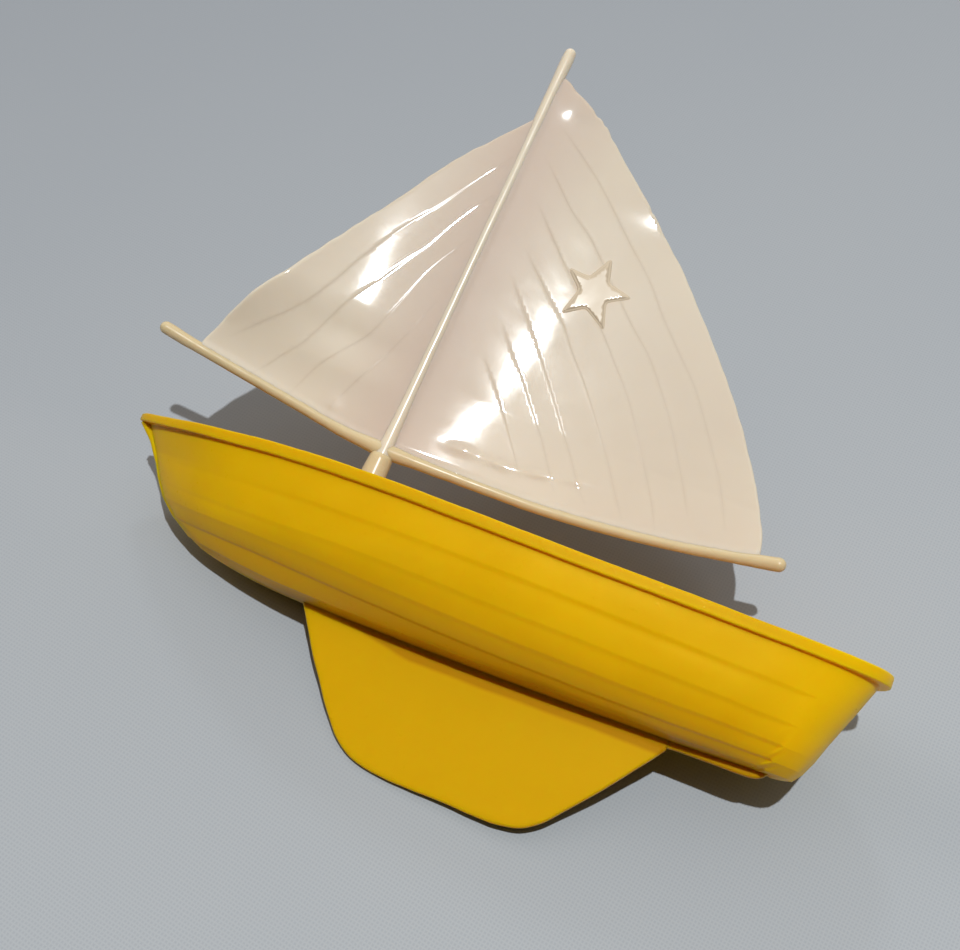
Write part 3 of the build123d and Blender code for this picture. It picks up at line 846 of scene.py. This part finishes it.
# ---------------------------------------------------------------- fin keel and keel strip
# Plates on the centre plane: (x, z from the rim).
FIN = [
    (19.6, -15.4), (18.9, -16.6), (16.5, -20.2), (13.3, -24.6), (10.9, -27.6), (9.1, -29.6),
    (6.9, -31.0), (4.2, -31.8), (1.2, -32.05), (-6, -32.12), (-12.2, -32.2), (-15.3, -31.6),
    (-17.6, -30.2), (-20.0, -27.6), (-23.0, -24.0), (-26.1, -20.1), (-28.3, -17.2)]
FIN_TOP = [(-28.6, -15.2), (-20, -15.2), (-10, -15.2), (0, -15.2), (10, -15.2), (19.9, -15.0)]
STRIP = [
    (-28.0, -16.0), (-27.6, -16.75), (-30, -16.78), (-34, -16.74), (-37.5, -16.72),
    (-38.9, -16.55), (-39.7, -16.1), (-40.2, -15.5)]
STRIP_TOP = [(-40.2, -15.0), (-28.0, -15.2)]


def fin_shape():
    count = 420
    low = curve(np.array(FIN) + (0, RIM_Z), count, 12)
    uneven = 0.10 * wobble(low[:, 0] * 0.35, low[:, 1] * 0.35, 3.3)
    low = low + left_normals(low) * (uneven * end_fade(count, 40))[:, None]
    low[:, 1] = np.maximum(low[:, 1], 0.0)
    top = evenly(np.array(FIN_TOP) + (0, RIM_Z), 120)
    thickness = FIN_HIGH[1] - FIN_LOW[1]

    def half(flat):
        """Thinner towards the lower edge, thicker at the hull."""
        z = flat[:, 1]
        return thickness / 2 - 0.04 * (1 - np.clip(z / 16.5, 0, 1)) + 0.30 * ease((z - 15.2) / 1.4)

    def place(flat, height):
        x, z = flat.T
        sway = 0.05 * np.sin(x * 0.21 + 1.0) * (1 - np.clip(z / 16, 0, 1))
        return np.stack([x, height + sway, z], 1)

    return sheet(np.vstack([low, top]), grid=0.55, edge=0.38, half=half, place=place)


def strip_shape():
    low = curve(np.array(STRIP) + (0, RIM_Z), 110)
    top = evenly(np.array(STRIP_TOP) + (0, RIM_Z), 60)
    return sheet(np.vstack([low, top]), grid=0.4, edge=0.3, half=0.68,
                 place=lambda flat, height: np.stack([flat[:, 0], height, flat[:, 1]], 1))


build("fin_keel_plate", fin_shape(), YELLOW, "hull", "fin_keel")
build("keel_strip_bar", strip_shape(), YELLOW, "hull", "keel_strip")

# ---------------------------------------------------------------- mast step inside the hull
# Heights are along the mast axis from the swivel point.
COLLAR_HEIGHT = 6.4
PEG_LENGTH = 8.0
PEG_END = -(COLLAR_HEIGHT + PEG_LENGTH)
STEP_RADIUS = 3.2
STEP_BORE = 1.46


def step_shape():
    top = STEP_HIGH[2] - PIVOT[2] + 0.12
    bottom = STEP_LOW[2] - PIVOT[2] + 0.1
    bore_end = PEG_END - 0.35
    return lathe(fillet_profile([                # radius, height, rounding
        (0, bottom, 0), (STEP_RADIUS + 0.9, bottom, .1), (STEP_RADIUS + 0.15, bottom + 2.2, 1.2),
        (STEP_RADIUS, top, .35), (STEP_BORE, top, .2), (STEP_BORE, bore_end, .1),
        (0, bore_end, 0)]))


build("mast_step_socket", step_shape(), YELLOW, "hull", "mast_step")


# ---------------------------------------------------------------- rig surface
# The rig is drawn flat as (forward of the mast, up the mast) from the swivel point.
def belly(fore, up):
    """How far to port the middle of the sails stands."""
    aft = np.maximum(-fore, 0)
    curl = np.maximum(0.0085 - 0.000118 * np.maximum(up, 0), 0.0012)
    slope = np.interp(up, [0, 5, 12, 20, 25, 35, 44, 60],
                      [.235, .2455, .26, .255, .2496, .238, .226, .22])
    high = ease((up - 4) / 14)
    fullness = 0.60 * (aft / 30) * np.exp(1 - aft / 30)
    twist = (0.00025 * np.maximum(up - 15, 0) ** 2 * ease(fore / 12)
             + 0.0065 * (fore * fore - 19.8 * fore) * ease((up - 8) / 6))
    jib = (0.08 + 0.145 * high) * fore + (0.003 - 0.00075 * high) * fore * fore + twist
    return np.where(fore >= 0, jib, -(slope * aft - 0.5 * curl * aft * aft) - fullness)


def belly_slopes(fore, up):
    reach = 0.15
    return ((belly(fore + reach, up) - belly(fore - reach, up)) / (2 * reach),
            (belly(fore, up + reach) - belly(fore, up - reach)) / (2 * reach))


def rig_point(fore, port, up):
    return PIVOT + fore[:, None] * FORE + up[:, None] * AXIS + port[:, None] * PORT


def on_sail(flat, height):
    """Points at a height over the middle surface of the sails, to port."""
    fore, up = flat.T
    slope_fore, slope_up = belly_slopes(fore, up)
    normal = np.stack([-slope_fore, np.ones_like(fore), -slope_up], 1)
    normal /= np.linalg.norm(normal, axis=1)[:, None]
    return rig_point(fore + normal[:, 0] * height, belly(fore, up) + normal[:, 1] * height,
                     up + normal[:, 2] * height)


# ---------------------------------------------------------------- sails
# All lines are (forward of the mast, up the mast).
JIB_SPAR = [(0, 1), (6, 1.3), (12, 2.05), (18, 2.75), (24, 3.45), (28.5, 3.95), (32.0, 4.40)]
BOOM = [
    (0, 1), (-5.94, 1.34), (-12.88, 1.7), (-20.83, 2.11), (-29.81, 3.01), (-37.82, 4.11),
    (-44.86, 5.32), (-50.55, 6.41)]
# the free edge of the jib, upwards
LUFF = [
    (27.4, 3.9), (26.85, 5.57), (26.07, 7.49), (24.72, 10.29), (22.84, 13.54), (20.77, 16.98),
    (18.77, 20.68), (16.7, 24.5), (15, 27.73), (12.35, 32.29), (10.17, 36.66), (7.52, 41.17),
    (5.24, 44.38), (2.86, 47.41), (0, 51.2)]
# the free edge of the mainsail, downwards
LEECH = [
    (0, 57.6), (-1.6, 57.22), (-2.89, 56.43), (-4.58, 55.65), (-6.57, 54.67), (-8.75, 53.29),
    (-10.54, 51.61), (-13.03, 49.44), (-15.52, 47.37), (-18.4, 45), (-21.48, 42.06),
    (-24.26, 39.62), (-27.74, 36.1), (-30.82, 32.77), (-34.11, 29.14), (-37.6, 24.93),
    (-40.2, 21.48), (-42.6, 17.91), (-44.62, 14.73), (-46.23, 11.72), (-47.67, 8.41),
    (-48.19, 5.93)]
LEECH_DENTS = ((-6.6, 0.28, 0.5), (-9.6, 0.22, 0.6), (-18.3, 0.22, 0.35),
               (-8.0, 0.2, 0.35))               # (place, depth, width)
MAIN_SEAMS = [
    [(-2.37, 51.23), (-6.28, 48.68), (-10.11, 45.96), (-13.39, 43.14), (-15.64, 41.1),
     (-17.88, 39.06), (-20.01, 37.28), (-22.28, 35.12), (-24.91, 32.07), (-28.85, 28.11),
     (-32.28, 24.69), (-34.51, 21.82), (-37.55, 17.55), (-40.18, 13.6), (-42.94, 8.22)],
    [(-2.25, 46.46), (-5.71, 43.28), (-8.87, 40.45), (-12.38, 38.1), (-15.34, 35.36),
     (-19.23, 31.68), (-22.17, 28.95), (-25.32, 26.31), (-28.41, 22.78), (-31.29, 19.04),
     (-33.76, 15.28), (-36.09, 11.51), (-37.9, 8.33)],
    [(-3.53, 40.41), (-6.9, 37.1), (-10.48, 33.6), (-13.82, 30.62), (-18.29, 27.25),
     (-21.47, 23.92), (-24.69, 20.47), (-27.74, 16.39), (-30.91, 11.67), (-33.56, 7.55),
     (-34.91, 4.94)],
    [(-4.66, 33.77), (-8.74, 30.09), (-11.19, 27.93), (-13.8, 25.7), (-16.04, 23.01),
     (-18.78, 20.11), (-21.49, 16.92), (-23.81, 14.0), (-26.29, 10.72), (-29.03, 6.81),
     (-30.53, 4.85)],
    [(-4.7, 29.41), (-9.34, 24.41), (-11.97, 21.48), (-14.48, 18.5), (-16.77, 15.72),
     (-19.14, 12.71), (-21.49, 9.81), (-24.04, 6.42), (-25.51, 4.89)],
    [(-6.11, 23.2), (-9.17, 19.61), (-11.37, 17.38), (-14.41, 13.81), (-17.25, 10.42),
     (-20.29, 6.25), (-21.27, 4.94)],
    [(-5.39, 18.44), (-7.96, 15.68), (-10.41, 12.87), (-12.81, 9.89), (-15.31, 6.66),
     (-16.67, 4.81)]]
JIB_SEAMS = [
    [(25.0, 5.89), (21.07, 10.01), (18.34, 12.92), (16.59, 15.36), (14.78, 19.0),
     (13.58, 22.15), (12.33, 24.88), (11.06, 27.63), (9.33, 30.63), (7.19, 33.68),
     (4.59, 38.34), (1.12, 44.06)],
    [(20.41, 2.53), (18.37, 5.34), (17.1, 7.29), (15.56, 9.31), (14.44, 11.69), (13.45, 14.33),
     (12.43, 16.78), (11.22, 19.3), (9.91, 21.29), (8.88, 23.3), (7.54, 25.91), (6.32, 27.87),
     (4.24, 32.68), (1.38, 38.06)],
    [(14.57, 1.98), (13.62, 4.73), (12.56, 7.44), (11.33, 9.49), (9.68, 11.87), (8.19, 14.22),
     (7.13, 17.17), (6.29, 19.94), (4.61, 25.54), (1.76, 31.15)],
    [(9.04, 1.54), (8.16, 5.1), (6.99, 8.15), (5.44, 11.65), (3.85, 15.95), (2.08, 21.67)]]
# the middle of a shallow hollow down each sail
MAIN_HOLLOW = [(-21.0, 47.5), (-15.0, 35.2), (-12.1, 25.2), (-11.1, 20.2), (-10.4, 15.1),
               (-9.3, 11.5), (-3.0, 3.5)]
JIB_HOLLOW = [(22.0, 38.0), (15.0, 26.2), (11.5, 22.7), (9.5, 17.9), (6.0, 8.0), (4.0, 2.0)]
MAST_LINE = [(0, 0), (0, 62)]
SEAM_HALF = 0.09
SAIL_HALF = 0.40    # half the thickness of a sail


def jagged(line, size, scale, seed):
    """A moulded edge isn't a clean line: small uneven waves along it."""
    waves = size * wobble(np.arange(len(line)) * scale, seed, 0.7)
    return line + left_normals(line) * (waves * end_fade(len(line), 12))[:, None]


def panel_relief(flat, seams, rise, reach, side):
    """Each panel's edge stands over its neighbour at a seam and falls back over reach mm."""
    height = np.zeros(len(flat))
    for seam in seams:
        distance, hand, along = nearest(flat, seam)
        off = distance * hand * side
        fade = ease(along / 6.0) * ease((line_length(seam) - along) / 3.0)
        above = np.where(off >= SEAM_HALF, rise * ease(1 - (off - SEAM_HALF) / reach), 0)
        under = np.where(off <= -SEAM_HALF,
                         -0.35 * rise * np.exp(-(-off - SEAM_HALF) / 0.25), 0)
        ramp = -0.35 * rise + (off + SEAM_HALF) / (2 * SEAM_HALF) * 1.35 * rise
        height += (above + under + np.where(np.abs(off) < SEAM_HALF, ramp, 0)) * fade
    return height


def rod_fillet(flat, spar):
    """The sheet thickens into the mast and the spar it hangs on."""
    height = np.zeros(len(flat))
    for line, rise, reach in ((MAST_LINE, 0.05, 1.2), (spar, 0.16, 1.1)):
        distance = nearest(flat, line)[0]
        height = np.maximum(height, rise * ease(1 - (distance - 0.5) / reach) ** 2)
    return height


def bulge(flat, centre, rise, width):
    offset = (flat - np.array(centre)) / np.array(width)
    return rise * np.exp(-(offset ** 2).sum(1) / 2)


def main_lift(flat):
    """Two bulges by the upper edge, and a low uneven fold just over the boom."""
    fore, up = flat.T
    fold_up = np.interp(-fore, [0, 6, 9, 15, 24, 32, 60], [4.6, 4.9, 5.15, 5.3, 7.2, 9.0, 9.5])
    fold = 0.10 * (1 + 0.5 * np.sin(fore * 1.25)) * np.exp(-((up - fold_up) / 0.55) ** 2)
    return (bulge(flat, centre=(-3.6, 54.4), rise=0.26, width=(1.9, 1.7))
            + bulge(flat, centre=(-19.0, 46.6), rise=0.30, width=(2.6, 2.3))
            + fold * ease((-fore - 5.0) / 3.0) * ease((30.0 + fore) / 8.0))


def jib_lift(flat):
    """One small bulge over the spar."""
    return bulge(flat, centre=(8.6, 3.9), rise=0.16, width=(0.8, 0.9))


def mark_seams(sail, seams, width=0.10):
    """Stores how close each point lies to a seam, 0 to 1, for the sail's colour."""
    mesh = sail.data
    points = np.empty(len(mesh.vertices) * 3)
    mesh.vertices.foreach_get("co", points)
    points = points.reshape(-1, 3) / MM - PIVOT
    fore, up = points @ FORE, points @ AXIS
    slope_fore, slope_up = belly_slopes(fore, up)
    # back along the normal from the port face to the middle surface
    back = 0.42 / np.sqrt(1 + slope_fore ** 2 + slope_up ** 2)
    flat = np.stack([fore + slope_fore * back, up + slope_up * back], 1)
    value = np.zeros(len(flat))
    for seam in seams:
        distance, _, along = nearest(flat, seam)
        end = 0.35 + 0.65 * ease((line_length(seam) - along) / 3.0)
        near = np.exp(-(distance / width) ** 2) * ease(along / 5.0) * end
        value = np.maximum(value, near)
    mesh.attributes.new("seam", "FLOAT", "POINT").data.foreach_set("value", value)


def build_sail(name, replaces, outline, seams, side, spar, panel, grain, hollow, lift):
    """panel is (rise, reach), grain (scale, seed), hollow (line, depth, width)."""
    seams = [curve(seam, 90) for seam in seams]
    creases = [seam + left_normals(seam) * offset
               for seam in seams for offset in (-SEAM_HALF, 0.0, SEAM_HALF)]

    def relief(flat):
        scale, seed = grain
        line, depth, width = hollow
        soft = wobble(flat[:, 0] * scale, flat[:, 1] * scale, seed)
        dip = depth * np.exp(-(nearest(flat, line)[0] / width) ** 2 / 2)
        return (panel_relief(flat, seams, *panel, side) + rod_fillet(flat, spar)
                + 0.009 * soft + (lift(flat) - dip))

    def under(flat):
        return panel_relief(flat, seams, 0.03, 3.0, side) + rod_fillet(flat, spar)

    shape = sheet(outline, 0.30, 0.3, SAIL_HALF, on_sail, creases, relief, under)
    mark_seams(build(name, shape, SAIL, "rig", replaces), seams)


def main_outline():
    foot = curve([(0.6, 1.0)] + BOOM[1:-1] + [(-48.3, 5.98)], 190)
    leech = curve(LEECH[::-1], 300)
    for place, depth, width in LEECH_DENTS:
        leech[:, 1] -= depth * np.exp(-((leech[:, 0] - place) / width) ** 2)
    leech = jagged(leech, size=0.10, scale=0.12, seed=1.0)
    mast_side = evenly([(0.6, 57.4), (0.6, 1.2)], 180)
    return np.vstack([foot, leech[1:], mast_side[:-1]])


def jib_outline():
    foot = curve([(-0.6, 1.0)] + JIB_SPAR[1:-2] + [(27.6, 3.85)], 120)
    luff = jagged(curve(LUFF, 240), size=0.14, scale=0.10, seed=4.0)
    mast_side = evenly([(-0.6, 51.0), (-0.6, 1.2)], 160)
    return np.vstack([foot, luff[1:], mast_side[:-1]])


build_sail("mainsail_sheet", "mainsail", main_outline(), MAIN_SEAMS, side=1.0, spar=BOOM,
           panel=(0.018, 3.4), grain=(0.13, 5.0), hollow=(MAIN_HOLLOW, 0.055, 3.0),
           lift=main_lift)
build_sail("jib_sheet", "jib", jib_outline(), JIB_SEAMS, side=-1.0, spar=JIB_SPAR,
           panel=(0.015, 3.2), grain=(0.15, 8.0), hollow=(JIB_HOLLOW, 0.03, 2.8),
           lift=jib_lift)

# ---------------------------------------------------------------- star on the mainsail
# Raised on the port face, in the plane of the sails.
STAR_CENTRE = (-15.75, 31.44)
STAR_POINTS = [
    (-15.97, 36.55), (-16.87, 33.35), (-20.38, 32.64), (-17.52, 30.79), (-18.75, 27.17),
    (-15.43, 29.11), (-12.89, 27.22), (-13.78, 31.06), (-11.5, 33.18), (-14.33, 33.1)]
# the rounded edge: (outset from the outline, height over the sail)
STAR_EDGE = [(0.15, -0.05), (0.09, -0.012), (0.04, 0.014), (-0.01, 0.033), (-0.06, 0.046),
             (-0.12, 0.055), (-0.20, 0.060)]
STAR_TOP = 0.061
STAR_SINK = 0.25    # how far its underside lies inside the sail


def star_shape():
    corners = anticlockwise(np.array(STAR_POINTS))
    rim = np.array([here * (1 - k / 14) + ahead * (k / 14)
                    for here, ahead in zip(corners, np.roll(corners, -1, axis=0))
                    for k in range(14)])
    # blunt the tips
    for _ in range(4):
        rim = 0.25 * np.roll(rim, 1, axis=0) + 0.5 * rim + 0.25 * np.roll(rim, -1, axis=0)
    size = len(rim)
    verts = [on_sail(inset(rim, -outset), np.full(size, SAIL_HALF + height))
             for outset, height in STAR_EDGE]
    rows = np.arange(len(STAR_EDGE) * size).reshape(-1, size)
    faces = bands(rows)
    # the flat top
    top = inset(rim, -STAR_EDGE[-1][0])
    low, high = top.min(0), top.max(0)
    grid = np.meshgrid(np.arange(low[0], high[0], 0.3), np.arange(low[1], high[1], 0.3))
    fill = np.stack(grid, -1).reshape(-1, 2)
    fill = fill[inside(fill, top)]
    fill = fill[nearest(fill, top, True)[0] > 0.15]
    flat, triangles, ring = triangulate(np.vstack([top, fill]), [], size)
    verts.append(on_sail(flat, np.full(len(flat), SAIL_HALF + STAR_TOP)))
    faces += [tuple(rows.size + i for i in triangle) for triangle in triangles]
    faces += band(rows[-1], [rows.size + i for i in ring])
    # closed underneath, inside the sail
    verts.append(on_sail(np.array([STAR_CENTRE]), np.array([SAIL_HALF - STAR_SINK])))
    verts.append(on_sail(rim, np.full(size, SAIL_HALF - STAR_SINK)))
    centre = rows.size + len(flat)
    for i in range(size):
        j = (i + 1) % size
        faces.append((i, centre + 1 + i, centre + 1 + j, j))
        faces.append((centre, centre + 1 + j, centre + 1 + i))
    return np.vstack(verts), faces


star = build("star_relief", star_shape(), STAR, "rig", "star_emblem", merge=0.0002)
# the light that scatters inside the sheet also reaches the sheet under the star
star.visible_shadow = False


# ---------------------------------------------------------------- mast, boom and jib spar
def mast_shape():
    top = (MAST_TOP_Z - PIVOT[2]) / AXIS[2] - 1.2
    up = np.linspace(-0.45, top, 260)
    radius = np.interp(up, [-0.45, 0.2, 0.9, 1.7, 2.8, 5, 10, 30, 50, 56, top - 1, top],
                       [1.15, 1.15, 1.10, 1.02, 0.94, 0.88, 0.84, 0.82, 0.80, 0.80, 0.86, 0.80])
    port = np.interp(up, [-0.45, 2, 8, 20, 46, 52, 58, top],
                     [0.0, -0.02, -0.14, -0.22, -0.22, -0.12, 0, 0])
    bow = 0.075 * np.sin(np.clip(up / top, 0, 1) * math.pi)
    return tube(rig_point(bow, port, up), radius, seed=2.0, unevenness=0.02)


def spar_shape(points, count, radii, seed):
    """A rod along the foot of a sail; radii holds (length along, radius)."""
    fore, up = curve(points, count).T
    lengths, sizes = zip(*radii)
    radius = np.interp(np.linspace(0, lengths[-1], count), lengths, sizes)
    return tube(rig_point(fore, belly(fore, up), up), radius, seed, unevenness=0.035)


BOOM_RADII = ((0, 1.05), (1.5, 0.98), (4, 0.84), (10, 0.74), (40, 0.70), (47, 0.74),
              (50, 0.84), (52.5, 0.90))
JIB_RADII = ((0, 1.05), (1.5, 0.98), (4, 0.84), (9, 0.74), (24, 0.72), (28, 0.74),
             (30.5, 0.82), (32, 0.80))
build("mast_rod", mast_shape(), MAST, "rig", "mast")
build("boom_rod", spar_shape(BOOM, 240, BOOM_RADII, 5.0), ROD, "rig", "boom")
build("jib_spar_rod", spar_shape(JIB_SPAR, 160, JIB_RADII, 8.0), ROD, "rig",
      "jib_spar")

# the collar under the mast and the peg in the step: (radius, height, rounding)
FOOT = [
    (0, 0.40, 0), (1.30, 0.40, .25), (1.53, -0.1, .3), (1.72, -3.6, 1.0),
    (1.92, -COLLAR_HEIGHT, .3), (1.40, -COLLAR_HEIGHT, .15), (1.38, PEG_END + 0.8, .3),
    (1.05, PEG_END, .3), (0, PEG_END, 0)]
build("mast_foot_collar", lathe(fillet_profile(FOOT), ring=80, wave=0.006), ROD, "foot",
      "mast_foot")

# ---------------------------------------------------------------- floor: the cloth
FLOOR_Y = -13.5
FLOOR_Z = RIM_Z - 0.7
FLOOR_FALL = 0.9243             # drop in z for each unit along the floor's own y
FLOOR_NORMAL = Vector((0.0, FLOOR_FALL, 0.3816)).normalized()
FLOOR_SIZE = 1.3                # metres
FLOOR_CELLS = 360


def floor_height(across, down):
    """Height of the cloth in metres over its own plane, at a place in metres."""
    far = min(1.0, max(0.0, (math.hypot(across, down) - 0.07) / 0.10))
    ripple = 0.0012 * far * noise.noise(Vector((across * 14, down * 14, 2.0)))
    # the cloth comes up a little under the bow and gives way under the stern
    x = across / MM
    z = FLOOR_Z - FLOOR_FALL * down / MM
    lean = 60 * math.tanh(x / 60) * (0.085 - 0.06 * float(ease((z - 14) / 16)))
    # and it is pressed in under the widest part of the hull
    dent = 2.1 * math.exp(-((x - 14) / 17) ** 2 - ((z - 24.5) / 7) ** 2)
    return ripple + (lean - dent) * MM


def build_floor():
    ticks = [(i / FLOOR_CELLS - 0.5) * FLOOR_SIZE for i in range(FLOOR_CELLS + 1)]
    verts = [(a, b, floor_height(a, b)) for a in ticks for b in ticks]
    row = FLOOR_CELLS + 1
    faces = []
    for i in range(FLOOR_CELLS):
        for j in range(FLOOR_CELLS):
            k = i * row + j
            faces.append((k, k + row, k + row + 1, k + 1))
    mesh = bpy.data.meshes.new("floor_sheet")
    mesh.from_pydata(verts, [], faces)
    mesh.polygons.foreach_set("use_smooth", [True] * len(mesh.polygons))
    mesh.materials.append(CLOTH)
    cloth = bpy.data.objects.new("floor_sheet", mesh)
    bpy.context.scene.collection.objects.link(cloth)
    across = Vector((1, 0, 0))
    pose = Matrix((across, FLOOR_NORMAL.cross(across), FLOOR_NORMAL)).transposed().to_4x4()
    pose.translation = Vector((0.0, FLOOR_Y, FLOOR_Z)) * MM
    cloth.matrix_world = pose


build_floor()

# ---------------------------------------------------------------- camera
scene = bpy.context.scene


def build_camera():
    """On the port side, looking at the boat with the bow to the left."""
    lens = bpy.data.cameras.new("camera")
    camera = bpy.data.objects.new("camera", lens)
    scene.collection.objects.link(camera)
    scene.camera = camera
    lens.sensor_fit = "HORIZONTAL"
    lens.sensor_width = 36.0
    lens.lens = 54.375
    lens.clip_start = 0.005
    lens.clip_end = 5.0
    right = Vector((-0.9198, -0.1498, 0.3627))
    top = Vector((0.3137, 0.2745, 0.9089))
    back = Vector((-0.2357, 0.9498, -0.2055))
    pose = Matrix((right, top, back)).transposed().to_4x4()
    pose.translation = Vector((-38.12, 171.95, RIM_Z - 30.48)) * MM
    camera.matrix_world = pose


build_camera()


# ---------------------------------------------------------------- light
def lamp(name, direction, distance, size, power, colour):
    """A round lamp in the given direction from a point over the hull, facing that point."""
    direction = Vector(direction).normalized()
    light = bpy.data.lights.new(name, "AREA")
    light.shape = "DISK"
    light.size = size
    light.energy = power
    light.color = colour
    holder = bpy.data.objects.new(name, light)
    scene.collection.objects.link(holder)
    holder.location = Vector((0.0, 0.0, (RIM_Z + 10) * MM)) + direction * distance
    holder.rotation_mode = "QUATERNION"
    holder.rotation_quaternion = direction.to_track_quat("Z", "Y")


lamp("key", direction=(-0.155, 0.950, 0.272), distance=1.5, size=0.032, power=17.0,
     colour=(0.94, 0.985, 1.0))
lamp("fill", direction=(0.24, 0.31, 0.92), distance=0.9, size=0.12, power=0.60,
     colour=(0.82, 0.92, 1.0))


def build_world():
    """Soft light from port and above only, so the shadow under the hull stays deep."""
    world = bpy.data.worlds.new("world")
    scene.world = world
    graph = Graph(world, "OutputWorld")
    towards = graph.add("VectorMath", {0: graph.add("TexCoord")["Generated"],
                                       1: Vector((0.20, 0.50, 0.84)).normalized()},
                        operation="DOT_PRODUCT")["Value"]
    glow = graph.ramp(towards, (0.22, 1.0), to=(0.0, 0.70), curve="SMOOTHSTEP")
    ambient = graph.add("Background", {"Color": (1.0, 0.90, 0.80), "Strength": glow})[0]
    # the camera sees a plain grey instead
    seen = graph.add("Background", {"Color": (0.46, 0.49, 0.53), "Strength": 0.9})[0]
    camera_ray = graph.add("LightPath")["Is Camera Ray"]
    graph.finish(graph.add("MixShader", {0: camera_ray, 1: ambient, 2: seen})[0])


build_world()

scene.view_settings.view_transform = "Standard"
scene.view_settings.look = "None"
scene.cycles.use_denoising = True
